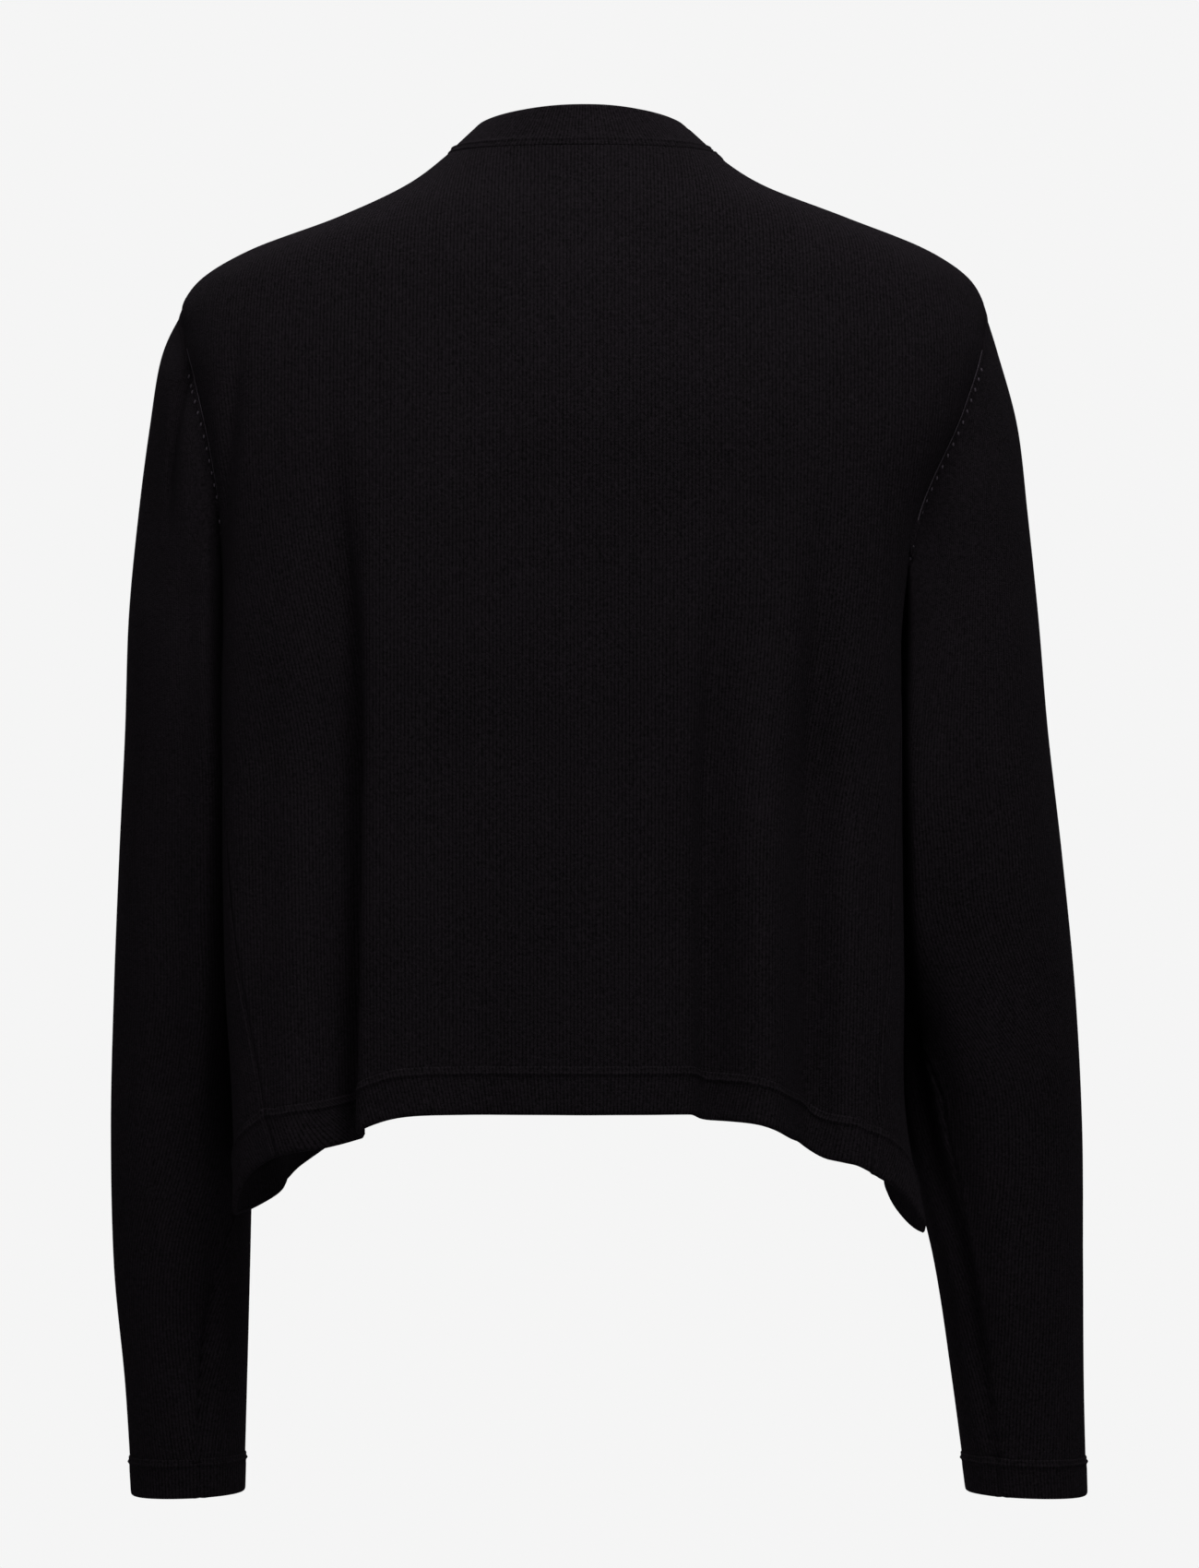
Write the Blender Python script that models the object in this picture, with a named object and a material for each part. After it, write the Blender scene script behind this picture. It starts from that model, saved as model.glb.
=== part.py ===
"""Knitted shrug, open at the front, filled out as if worn, seen best from the back.

Metres, +Z up. The wearer faces +Y and the back of the shrug faces -Y, so the wearer's right
is +X. The origin is the centre of the neck, level with the two side neck points.

Every body piece lies on one form: a stack of level sections of a general figure with the
cloth hanging from it. A place on the form has two coordinates: around, the share of the half
girth from centre back (0) to centre front (1), and height. The sleeves are tubes that start
on the armhole loops of that form.
"""
import math

import bpy
import numpy as np

# Cloth
JERSEY = 0.0014
RIB = 0.0026
SEAM_GAP = 0.0003
BAND_WIDTH = 0.024
CUFF_DEPTH = 0.021

# Shares of the half girth where the back turns into the side, and the side into the front
EDGE_AT = 0.45
SIDE_AT = 0.60
SHOULDER_AT = 0.525
BACK_POWER = 2.3
FRONT_POWER = 2.2

# Heights of the neckband's top: at the side neck, and how much higher at centre back
NECK_TOP = 0.0150
NECK_RISE = 0.0066

# Number of quads along each piece
COLUMNS_BACK = 30
COLUMNS_FRONT = 12
ROWS_SEAM = 11
ROWS_ARMHOLE = 12
ROWS_SHOULDER = 7
ROWS_SLEEVE = 24
COLUMNS_SLEEVE = 2 * ROWS_ARMHOLE
ROWS_BAND = 2
COLUMNS_NECKBAND = 22
# Steps of the smooth lines that are drawn through the tables' rows, and of a whole band
FINE_STEPS = 24
FINE_BAND = 160
# Steps of a band's seam that run straight from the side neck, where its edge turns sharply
NECK_STEPS = 10
# Shares of the front band's seam, from the neck, at the foot of the armhole and at the
# front panel's lower corner
CHEST_SHARE = 0.46
CORNER_SHARE = 0.63
# Shares of the back's half width where two folds run, and the columns set close to the first
DEEP_FOLD_SHARE = -0.62
SECOND_FOLD_SHARE = 0.66
CLOSE_COLUMNS = (-0.045, -0.028, -0.014, 0.0, 0.014, 0.028, 0.045)
CLEAR_OF_FOLD = 0.058

# A fold grows to its full depth over this share of its length, and fades out over this
# depth where the cloth turns towards the other face
FOLD_GROWTH = 0.45
FACE_BLEND = 0.05
# How evenly a sleeve crease keeps its depth along its length
CREASE_EVENNESS = 0.8
# The tube takes the armhole's shape over these rows of its table, and how fast that fades
ARMHOLE_REACH = 4.5
ARMHOLE_FADE = 1.6
# The last full ring of a sleeve stands this far above the cuff's seam
RING_CLEARANCE = 0.006
# Edges sharper than this stay crisp
CRISP_DEGREES = 50.0
# Search for a place at a set distance: number of steps, and the longest step
INSET_STEPS = 6
LONGEST_TURN = 0.05
LONGEST_RISE = 0.02

KNIT_BLACK = (0.0046, 0.0040, 0.0048, 1.0)
RIB_BLACK = (0.0052, 0.0046, 0.0054, 1.0)
KNIT_ROUGHNESS = 0.85

# A row for each level section of the body, from the hem to the top of the neckband
BODY_COLUMNS = ("height", "left_edge", "right_edge", "edge_back", "back_depth",
                "side_reach", "side_fore", "front_depth")
BODY_SECTIONS = (
    (-0.560, 0.178, 0.177, 0.062, 0.118, 0.152, -0.010, 0.098),
    (-0.520, 0.175, 0.168, 0.063, 0.118, 0.152, -0.011, 0.100),
    (-0.470, 0.176, 0.159, 0.064, 0.118, 0.151, -0.012, 0.102),
    (-0.400, 0.182, 0.158, 0.065, 0.117, 0.150, -0.013, 0.106),
    (-0.310, 0.184, 0.157, 0.064, 0.116, 0.149, -0.013, 0.108),
    (-0.225, 0.183, 0.158, 0.062, 0.116, 0.150, -0.008, 0.104),
    (-0.180, 0.183, 0.166, 0.059, 0.114, 0.160, 0.004, 0.098),
    (-0.130, 0.191, 0.188, 0.050, 0.110, 0.178, 0.014, 0.089),
    (-0.095, 0.199, 0.198, 0.034, 0.104, 0.192, 0.014, 0.080),
    (-0.073, 0.201, 0.199, 0.014, 0.099, 0.200, 0.012, 0.073),
    (-0.062, 0.192, 0.192, 0.012, 0.096, 0.192, 0.011, 0.069),
    (-0.049, 0.170, 0.173, 0.011, 0.091, 0.172, 0.010, 0.064),
    (-0.032, 0.125, 0.131, 0.010, 0.084, 0.129, 0.009, 0.058),
    (-0.016, 0.091, 0.090, 0.009, 0.075, 0.091, 0.008, 0.052),
    (0.000, 0.0695, 0.0655, 0.008, 0.067, 0.0675, 0.007, 0.047),
    (0.010, 0.0585, 0.0540, 0.007, 0.062, 0.0560, 0.006, 0.042),
    (0.0225, 0.0455, 0.0405, 0.006, 0.057, 0.0430, 0.005, 0.037),
)

# The free edge of the front bands, from the side neck down and round: reach from the centre
REACH_COLUMNS = ("reach", "height")
FRONT_EDGE = (
    (0.0475, 0.0125),
    (0.0490, 0.0020),
    (0.0490, -0.0170),
    (0.0485, -0.0450),
    (0.0480, -0.0850),
    (0.0460, -0.1400),
    (0.0460, -0.2000),
    (0.0490, -0.2600),
    (0.0560, -0.3200),
    (0.0680, -0.3750),
    (0.0850, -0.4250),
    (0.1060, -0.4680),
    (0.1290, -0.4980),
)
# The free edge goes on round the side and along the back hem to the centre back
PLACE_COLUMNS = ("around", "height")
HEM_EDGE = (
    (0.655, -0.5125),
    (0.605, -0.5165),
    (0.550, -0.5215),
    (0.500, -0.5255),
    (0.455, -0.5265),
    (0.425, -0.5230),
    (0.390, -0.5150),
    (0.345, -0.5045),
    (0.290, -0.4960),
    (0.245, -0.4925),
    (0.190, -0.4865),
    (0.140, -0.4790),
    (0.080, -0.4775),
    (0.000, -0.4775),
)

# Side seam, from the band up to the underarm point
SIDE_SEAM = ((0.290, -0.4960), (0.312, -0.4720), (0.345, -0.4000), (0.400, -0.3100),
             (0.490, -0.2250))
# Armhole, back and front halves, from the underarm point to the shoulder point
ARMHOLE_BACK = ((0.490, -0.2250), (0.455, -0.2020), (0.436, -0.1700), (0.424, -0.1350),
                (0.432, -0.1040), (0.465, -0.0820), (0.525, -0.0730))
ARMHOLE_FRONT = ((0.490, -0.2250), (0.560, -0.2240), (0.625, -0.2080), (0.655, -0.1750),
                 (0.655, -0.1350), (0.628, -0.1000), (0.580, -0.0790), (0.525, -0.0730))

# The largest folds, as troughs that run down the cloth
FOLD_COLUMNS = ("side", "face", "top", "bottom", "top_reach", "bottom_reach",
                "depth", "width", "underlap", "drop")
FOLDS = (
    (-1, "back", -0.120, -0.560, 0.1175, 0.1250, 0.0130, 0.0105, 0.0130, 0.0030),
    (-1, "back", -0.330, -0.560, 0.0500, 0.0560, 0.0030, 0.0180, 0.0000, 0.0000),
    (1, "back", -0.250, -0.560, 0.0500, 0.0560, 0.0050, 0.0150, 0.0020, 0.0030),
    (1, "back", -0.190, -0.560, 0.1110, 0.1120, 0.0085, 0.0120, 0.0060, 0.0060),
    (1, "back", -0.340, -0.560, 0.1300, 0.1320, 0.0010, 0.0140, 0.0000, 0.0030),
    (-1, "front", -0.150, -0.560, 0.0950, 0.1050, 0.0070, 0.0140, 0.0030, 0.0000),
    (1, "front", -0.140, -0.560, 0.1000, 0.0960, 0.0060, 0.0150, 0.0030, 0.0000),
)

# A row for each section of a sleeve, from the armhole to the wrist: the outer line, the
# inner line, and the depth and forward place of the tube
SLEEVE_COLUMNS = ("outer_height", "outer_left", "outer_right",
                  "inner_height", "inner_left", "inner_right", "half_depth", "forward")
SLEEVE_SECTIONS = (
    (-0.073, 0.201, 0.199, -0.225, 0.166, 0.154, 0.058, -0.002),
    (-0.098, 0.2125, 0.207, -0.230, 0.166, 0.1535, 0.058, -0.002),
    (-0.135, 0.219, 0.217, -0.240, 0.166, 0.1545, 0.057, -0.002),
    (-0.180, 0.225, 0.2225, -0.258, 0.165, 0.1550, 0.056, -0.002),
    (-0.232, 0.230, 0.228, -0.285, 0.164, 0.1550, 0.055, -0.002),
    (-0.290, 0.232, 0.233, -0.320, 0.162, 0.1555, 0.054, -0.001),
    (-0.350, 0.235, 0.240, -0.365, 0.163, 0.1565, 0.052, 0.001),
    (-0.420, 0.238, 0.247, -0.425, 0.165, 0.1570, 0.048, 0.004),
    (-0.490, 0.240, 0.251, -0.490, 0.168, 0.1610, 0.044, 0.010),
    (-0.560, 0.239, 0.252, -0.558, 0.170, 0.1765, 0.040, 0.018),
    (-0.620, 0.234, 0.253, -0.618, 0.172, 0.186, 0.036, 0.027),
    (-0.678, 0.231, 0.255, -0.676, 0.174, 0.194, 0.033, 0.036),
)

# Soft creases of the sleeves: where round the tube (0 outer, 90 front, 180 inner, 270 back)
CREASE_COLUMNS = ("side", "top", "bottom", "top_turn", "bottom_turn", "depth", "width")
SLEEVE_CREASES = (
    (-1, -0.110, -0.230, 318.0, 312.0, 0.0030, 16.0),
    (-1, -0.520, -0.640, 236.0, 262.0, 0.0035, 18.0),
    (-1, -0.330, -0.450, 118.0, 96.0, 0.0040, 20.0),
    (1, -0.380, -0.640, 222.0, 246.0, 0.0040, 17.0),
    (1, -0.300, -0.420, 80.0, 104.0, 0.0040, 20.0),
    (1, -0.500, -0.600, 60.0, 84.0, 0.0030, 18.0),
)


def column(rows, names, name):
    """One named column of a table."""
    return np.array(rows)[:, names.index(name)]


def through(places, values, at):
    """Smooth curve through the values of one table column."""
    places = np.asarray(places, float)
    values = np.asarray(values, float)
    at = np.clip(np.asarray(at, float), places[0], places[-1])
    slopes = np.gradient(values, places)
    row = np.clip(np.searchsorted(places, at) - 1, 0, len(places) - 2)
    step = places[row + 1] - places[row]
    t = (at - places[row]) / step
    start = (1 + 2 * t) * (1 - t) ** 2 * values[row] + t * (1 - t) ** 2 * step * slopes[row]
    end = t * t * (3 - 2 * t) * values[row + 1] - t * t * (1 - t) * step * slopes[row + 1]
    return start + end


def ease(t):
    """0 to 1 with level ends."""
    t = np.clip(t, 0.0, 1.0)
    return t * t * (3 - 2 * t)


def section(height):
    """The named sizes of the body's section at a height."""
    heights = column(BODY_SECTIONS, BODY_COLUMNS, "height")
    return {name: through(heights, column(BODY_SECTIONS, BODY_COLUMNS, name), height)
            for name in BODY_COLUMNS[1:]}


def fold_push(side, x, y, height):
    """How the folds move a point of the form: across, inward and down."""
    across = np.zeros_like(x)
    inward = np.zeros_like(x)
    down = np.zeros_like(x)
    for row in FOLDS:
        fold = dict(zip(FOLD_COLUMNS, row))
        if fold["side"] != side:
            continue
        facing = -1.0 if fold["face"] == "back" else 1.0
        run = np.clip((fold["top"] - height) / (fold["top"] - fold["bottom"]), 0.0, 1.0)
        reach = fold["top_reach"] + (fold["bottom_reach"] - fold["top_reach"]) * run
        strength = ease(run / FOLD_GROWTH) * ease(y * facing / FACE_BLEND)
        offset = (x * side - reach) / fold["width"]
        push = np.exp(-offset ** 2) * strength
        across = across - side * fold["underlap"] * push
        inward = inward - facing * fold["depth"] * push
        down = down + fold["drop"] * ease(offset) * strength
    return across, inward, down


def body_point(side, around, height):
    """A point of the form, on the wearer's left (-1) or right (1)."""
    around, height = np.broadcast_arrays(np.asarray(around, float), np.asarray(height, float))
    size = section(height)
    edge = size["left_edge"] if side < 0 else size["right_edge"]
    turn = np.clip(around / EDGE_AT, 0, 1) * math.pi / 2
    bend = 2 / BACK_POWER
    back_x = edge * np.sin(turn) ** bend
    flat = size["back_depth"] - size["edge_back"]
    back_y = -size["edge_back"] - flat * np.clip(np.cos(turn), 0, 1) ** bend
    part = np.clip((around - EDGE_AT) / (SIDE_AT - EDGE_AT), 0, 1)
    side_x = edge + (size["side_reach"] - edge) * ease(part)
    side_y = -size["edge_back"] + (size["side_fore"] + size["edge_back"]) * part
    turn = np.clip((around - SIDE_AT) / (1 - SIDE_AT), 0, 1) * math.pi / 2
    bend = 2 / FRONT_POWER
    front_x = size["side_reach"] * np.clip(np.cos(turn), 0, 1) ** bend
    front_y = size["side_fore"] + (size["front_depth"] - size["side_fore"]) * np.sin(turn) ** bend
    x = side * np.where(around < EDGE_AT, back_x, np.where(around < SIDE_AT, side_x, front_x))
    y = np.where(around < EDGE_AT, back_y, np.where(around < SIDE_AT, side_y, front_y))
    across, inward, down = fold_push(side, x, y, height)
    return np.stack([x + across, y + inward, height - down], axis=-1)


def body_frame(side, around, height):
    """The form's two tangents and its outward normal at a place."""
    small_turn = 0.004
    small_rise = 0.0015
    low = np.maximum(np.asarray(around, float) - small_turn, 1e-6)
    along = body_point(side, around + small_turn, height) - body_point(side, low, height)
    along = along / (around + small_turn - low)[..., None]
    rise = body_point(side, around, height + small_rise)
    rise = (rise - body_point(side, around, height - small_rise)) / (2 * small_rise)
    normal = side * np.cross(along, rise)
    normal = normal / np.linalg.norm(normal, axis=-1, keepdims=True)
    return along, rise, normal


def both_sides(around, height):
    """Points and normals for signed places: left of centre back is negative."""
    left, right = body_point(-1, abs(around), height), body_point(1, abs(around), height)
    left_normal = body_frame(-1, abs(around), height)[2]
    right_normal = body_frame(1, abs(around), height)[2]
    on_left = (around < 0)[..., None]
    middle = (around == 0)[..., None]
    points = np.where(on_left, left, right)
    normals = np.where(on_left, left_normal, right_normal)
    normals = np.where(middle, left_normal + right_normal, normals)
    normals = normals / np.linalg.norm(normals, axis=-1, keepdims=True)
    return points, normals


def inset(side, around, height, distance):
    """Places on the form at a distance from a line of places, measured across the line."""
    line = body_point(side, around, height)
    course = np.gradient(line, axis=0)
    normal = body_frame(side, around, height)[2]
    across = -side * np.cross(normal, course)
    across = across / np.linalg.norm(across, axis=-1, keepdims=True)
    target = line + across * distance
    for _ in range(INSET_STEPS):
        along, rise, _normal = body_frame(side, around, height)
        miss = target - body_point(side, around, height)
        matrix = np.stack([along, rise], axis=-1)
        step = np.array([np.linalg.lstsq(m, e, rcond=None)[0] for m, e in zip(matrix, miss)])
        around = around + np.clip(step[:, 0], -LONGEST_TURN, LONGEST_TURN)
        height = height + np.clip(step[:, 1], -LONGEST_RISE, LONGEST_RISE)
    return around, height


def resample(side, around, height, count):
    """A line of places with count + 1 places, spread evenly along the cloth."""
    line = body_point(side, around, height)
    run = np.concatenate([[0], np.cumsum(np.linalg.norm(np.diff(line, axis=0), axis=1))])
    even = np.linspace(0, run[-1], count + 1)
    return np.interp(even, run, around), np.interp(even, run, height)


def table_line(rows):
    """A smooth line of places through table rows of around and height."""
    order = np.arange(len(rows))
    fine = np.linspace(0, len(rows) - 1, (len(rows) - 1) * FINE_STEPS + 1)
    around = through(order, column(rows, PLACE_COLUMNS, "around"), fine)
    height = through(order, column(rows, PLACE_COLUMNS, "height"), fine)
    return around, height


def front_around(reach, height):
    """Where round the form a point of the front lies, from its reach."""
    share = np.clip(reach / section(height)["side_reach"], 0, 1) ** (FRONT_POWER / 2)
    return SIDE_AT + (1 - SIDE_AT) * np.arccos(share) / (math.pi / 2)


def free_edge():
    """The free edge from the side neck to the side seam, and from there to centre back."""
    reach = column(FRONT_EDGE, REACH_COLUMNS, "reach")
    height = column(FRONT_EDGE, REACH_COLUMNS, "height")
    rows = [(SHOULDER_AT, NECK_TOP)] + list(zip(front_around(reach, height), height))
    front_rows = len(rows)
    around, height = table_line(rows + list(HEM_EDGE))
    seam_row = front_rows + [row[0] for row in HEM_EDGE].index(SIDE_SEAM[0][0])
    cut = seam_row * FINE_STEPS
    return (around[:cut + 1], height[:cut + 1]), (around[cut:], height[cut:])


def band_lines(side):
    """Free edge and seam line of a front band, with the panel's own points on the seam."""
    (around, height), _back = free_edge()
    around, height = resample(side, around, height, FINE_BAND)
    in_around, in_height = inset(side, around, height, BAND_WIDTH)
    neck = np.linspace(0, 1, NECK_STEPS + 1)
    in_around[:NECK_STEPS + 1] = SHOULDER_AT + (in_around[NECK_STEPS] - SHOULDER_AT) * neck
    in_height[:NECK_STEPS + 1] = in_height[NECK_STEPS] * neck
    in_around[-1], in_height[-1] = SIDE_SEAM[1]
    order = np.arange(len(around))
    seam = body_point(side, in_around, in_height)
    run = np.concatenate([[0], np.cumsum(np.linalg.norm(np.diff(seam, axis=0), axis=1))])
    chest = np.linspace(0, CHEST_SHARE, ROWS_ARMHOLE + 1)
    waist = np.linspace(CHEST_SHARE, CORNER_SHARE, ROWS_SEAM + 1)
    lower = np.linspace(CORNER_SHARE, 1, COLUMNS_FRONT + 1)
    shares = np.concatenate([chest, waist[1:], lower[1:]])
    places = np.interp(shares * run[-1], run, order)
    pick = [np.interp(places, order, line) for line in (around, height, in_around, in_height)]
    return (pick[0], pick[1]), (pick[2], pick[3])


def hem_height(around):
    """Height of the back hem's free edge."""
    _front, (edge_around, edge_height) = free_edge()
    return np.interp(around, edge_around[::-1], edge_height[::-1])


def outer_boundary(armhole):
    """Side seam from the band to the underarm, armhole, then shoulder seam to the neck."""
    shoulder_heights = np.linspace(armhole[-1][1], 0.0, FINE_STEPS)
    shoulder_line = (np.full(FINE_STEPS, SHOULDER_AT), shoulder_heights)
    seam = resample(1, *table_line(SIDE_SEAM[1:]), ROWS_SEAM)
    loop = resample(1, *table_line(armhole), ROWS_ARMHOLE)
    shoulder = resample(1, *shoulder_line, ROWS_SHOULDER)
    around = np.concatenate([seam[0], loop[0][1:], shoulder[0][1:]])
    height = np.concatenate([seam[1], loop[1][1:], shoulder[1][1:]])
    return around, height


def knit_material(name, colour):
    """Matt black knit."""
    material = bpy.data.materials.new(name)
    material.use_nodes = True
    shader = material.node_tree.nodes["Principled BSDF"]
    shader.inputs["Base Color"].default_value = colour
    shader.inputs["Roughness"].default_value = KNIT_ROUGHNESS
    shader.inputs["Metallic"].default_value = 0.0
    return material


def open_seams(points, closed, edges):
    """Draw the named edges of a grid back by half the seam gap."""
    points = points.copy()
    half = SEAM_GAP / 2
    pairs = {"bottom": (0, 1), "top": (-1, -2)}
    for edge, (outer, inner) in pairs.items():
        if edge in edges:
            step = points[inner] - points[outer]
            points[outer] += half * step / np.linalg.norm(step, axis=-1, keepdims=True)
    if not closed:
        for edge, (outer, inner) in {"start": (0, 1), "end": (-1, -2)}.items():
            if edge in edges:
                step = points[:, inner] - points[:, outer]
                step = step / np.linalg.norm(step, axis=-1, keepdims=True)
                points[:, outer] += half * step
    return points


def wall(name, points, normals, thickness, colour, closed=False, edges=()):
    """A closed sheet of cloth: a grid of outer points and the same grid moved inward."""
    outer = open_seams(points, closed, edges)
    inner = outer - normals * thickness
    rows, columns = outer.shape[:2]
    count = rows * columns
    spans = columns if closed else columns - 1
    faces = []
    for row in range(rows - 1):
        for column in range(spans):
            beside = (column + 1) % columns
            a, b = row * columns + column, row * columns + beside
            c, d = (row + 1) * columns + beside, (row + 1) * columns + column
            faces.append((a, b, c, d))
            faces.append((a + count, d + count, c + count, b + count))
    loops = [[row * columns + column for column in range(spans + (not closed))]
             for row in (0, rows - 1)]
    for number, loop in enumerate(loops):
        ends = zip(loop, loop[1:] + loop[:1]) if closed else zip(loop, loop[1:])
        for a, b in ends:
            rim = (a, a + count, b + count, b)
            faces.append(rim if number == 0 else rim[::-1])
    if not closed:
        for number, column in enumerate((0, columns - 1)):
            for row in range(rows - 1):
                a, b = row * columns + column, (row + 1) * columns + column
                rim = (a, b, b + count, a + count)
                faces.append(rim if number == 0 else rim[::-1])
    mesh = bpy.data.meshes.new(name)
    vertices = np.concatenate([outer.reshape(-1, 3), inner.reshape(-1, 3)])
    mesh.from_pydata(vertices.tolist(), [], faces)
    mesh.validate()
    if signed_volume(mesh) < 0:
        mesh.flip_normals()
    mesh.shade_smooth()
    mesh.set_sharp_from_angle(angle=math.radians(CRISP_DEGREES))
    mesh.materials.append(knit_material(name, colour))
    piece = bpy.data.objects.new(name, mesh)
    COLLECTION.objects.link(piece)
    return piece


def signed_volume(mesh):
    """Six times the volume that the faces enclose, below zero if they point inward."""
    total = 0.0
    for face in mesh.polygons:
        corners = [mesh.vertices[i].co for i in face.vertices]
        for second, third in zip(corners[1:], corners[2:]):
            total += corners[0].dot(second.cross(third))
    return total


def back_columns():
    """Shares of the back's width where its columns stand, closer at the deep fold."""
    even = np.linspace(-1, 1, COLUMNS_BACK + 1)
    near = DEEP_FOLD_SHARE + np.array(CLOSE_COLUMNS)
    clear = even[np.abs(even - DEEP_FOLD_SHARE) > CLEAR_OF_FOLD]
    return np.sort(np.concatenate([clear, near]))


def back_row(shares, limit, height):
    """Where round the form the back's columns stand on one row: they follow two folds."""
    left_at = min(fold_around(FOLDS[0], height), -DEEP_FOLD_SHARE * limit)
    right_at = min(fold_around(FOLDS[3], height), SECOND_FOLD_SHARE * limit)
    return np.interp(shares, (-1, DEEP_FOLD_SHARE, 0, SECOND_FOLD_SHARE, 1),
                     (-limit, -left_at, 0, right_at, limit))


def fold_around(fold_row, height):
    """Where round the form a back fold runs at each height."""
    fold = dict(zip(FOLD_COLUMNS, fold_row))
    run = np.clip((fold["top"] - height) / (fold["top"] - fold["bottom"]), 0, 1)
    reach = fold["top_reach"] + (fold["bottom_reach"] - fold["top_reach"]) * run
    size = section(height)
    edge = size["left_edge"] if fold["side"] < 0 else size["right_edge"]
    share = np.clip(reach / edge, 0, 0.98) ** (BACK_POWER / 2)
    return np.arcsin(share) / (math.pi / 2) * EDGE_AT


def make_back():
    """Back panel, from the hem band's seam to the neck seam."""
    around, height = outer_boundary(ARMHOLE_BACK)
    shares = back_columns()
    grid_around = np.array([back_row(shares, a, h) for a, h in zip(around, height)])
    bottom = hem_height(abs(grid_around[0]))
    bow = (bottom - bottom[0]) / (bottom.max() - bottom[0])
    centre_bottom = bottom.max() + BAND_WIDTH
    centre = centre_bottom * (1 - rise_share(height))
    grid_height = height[:, None] + (centre - height)[:, None] * bow[None, :]
    points, normals = both_sides(grid_around, grid_height)
    wall("back", points, normals, JERSEY, KNIT_BLACK,
         edges=("bottom", "top", "start", "end"))
    share = np.linspace(0, 1, ROWS_BAND + 1)[:, None]
    low_around = back_row(shares, *SIDE_SEAM[0])
    low_height = hem_height(abs(low_around))
    band_grid = low_around + (grid_around[0] - low_around) * share
    band_height = low_height + (grid_height[0] - low_height) * share
    points, normals = both_sides(band_grid, band_height)
    wall("hem_band_back", points, normals, RIB, RIB_BLACK, edges=("top", "start", "end"))


def rise_share(height):
    """How far each row has risen from the first row to the last."""
    return (height - height[0]) / (height[-1] - height[0])


def make_front(name, side):
    """Front panel: side seam, armhole, shoulder seam, front edge and rounded lower edge."""
    out_around, out_height = outer_boundary(ARMHOLE_FRONT)
    _free, (seam_around, seam_height) = band_lines(side)
    tip = ROWS_SEAM + ROWS_ARMHOLE
    left = np.stack([out_around[:tip + 1], out_height[:tip + 1]], axis=-1)
    top = np.stack([out_around[tip:], out_height[tip:]], axis=-1)
    seam = np.stack([seam_around, seam_height], axis=-1)
    right = seam[:tip + 1][::-1]
    bottom = seam[tip:][::-1]
    top = np.stack(resample(side, top[:, 0], top[:, 1], COLUMNS_FRONT), axis=-1)
    s = np.linspace(0, 1, COLUMNS_FRONT + 1)[None, :, None]
    t = np.linspace(0, 1, tip + 1)[:, None, None]
    grid = (1 - s) * left[:, None] + s * right[:, None]
    grid = grid + (1 - t) * bottom[None] + t * top[None]
    grid = grid - (1 - s) * (1 - t) * bottom[0] - s * (1 - t) * bottom[-1]
    grid = grid - (1 - s) * t * top[0] - s * t * top[-1]
    points = body_point(side, grid[..., 0], grid[..., 1])
    normals = body_frame(side, grid[..., 0], grid[..., 1])[2]
    wall(name, points, normals, JERSEY, KNIT_BLACK, edges=("bottom", "top", "start", "end"))


def make_front_band(name, side):
    """Rib band of one front, from the side neck round the rounded edge to the side seam."""
    free, seam = band_lines(side)
    share = np.linspace(0, 1, ROWS_BAND + 1)[:, None]
    around = free[0] + (seam[0] - free[0]) * share
    height = free[1] + (seam[1] - free[1]) * share
    points = body_point(side, around, height)
    normals = body_frame(side, around, height)[2]
    wall(name, points, normals, RIB, RIB_BLACK, edges=("top", "start", "end"))


def make_neckband():
    """Rib band that stands up round the back of the neck."""
    around = np.linspace(-SHOULDER_AT, SHOULDER_AT, COLUMNS_NECKBAND + 1)
    middle = 1 - ease(abs(around) / SHOULDER_AT)
    top = NECK_TOP + NECK_RISE * middle
    share = np.linspace(0, 1, ROWS_BAND + 1)[:, None]
    height = top[None, :] * share
    grid = np.repeat(around[None, :], ROWS_BAND + 1, axis=0)
    points, normals = both_sides(grid, height)
    wall("neckband", points, normals, RIB, RIB_BLACK, edges=("bottom", "start", "end"))


def sleeve_rings(side):
    """Outer points of the whole tube, armhole to wrist, with the creases pressed in."""
    order = np.arange(len(SLEEVE_SECTIONS))
    at = np.linspace(0, order[-1], ROWS_SLEEVE + 1)
    size = {name: through(order, column(SLEEVE_SECTIONS, SLEEVE_COLUMNS, name), at)
            for name in SLEEVE_COLUMNS}
    outer_x = size["outer_left"] if side < 0 else size["outer_right"]
    inner_x = size["inner_left"] if side < 0 else size["inner_right"]
    outer = np.stack([outer_x, size["outer_height"]], axis=-1)
    inner = np.stack([inner_x, size["inner_height"]], axis=-1)
    turn = np.linspace(0, 2 * math.pi, COLUMNS_SLEEVE, endpoint=False)
    middle = (outer + inner) / 2
    half = (outer - inner) / 2
    cosine = np.cos(turn)[None, :]
    x = side * (middle[:, :1] + half[:, :1] * cosine)
    z = middle[:, 1:] + half[:, 1:] * cosine
    y = size["forward"][:, None] + size["half_depth"][:, None] * np.sin(turn)[None, :]
    rings = np.stack([x, y, z], axis=-1)
    loop = body_point(side, *armhole_places())
    keep = (1 - np.clip(at / ARMHOLE_REACH, 0, 1))[:, None, None] ** ARMHOLE_FADE
    rings = rings + (loop - rings[0])[None] * keep
    return press_creases(side, rings, turn)


def armhole_places():
    """The panels' own places round the armhole: shoulder point, front, underarm, back."""
    front = resample(1, *table_line(ARMHOLE_FRONT), ROWS_ARMHOLE)
    back = resample(1, *table_line(ARMHOLE_BACK), ROWS_ARMHOLE)
    around = np.concatenate([front[0][::-1], back[0][1:-1]])
    height = np.concatenate([front[1][::-1], back[1][1:-1]])
    return around, height


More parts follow.
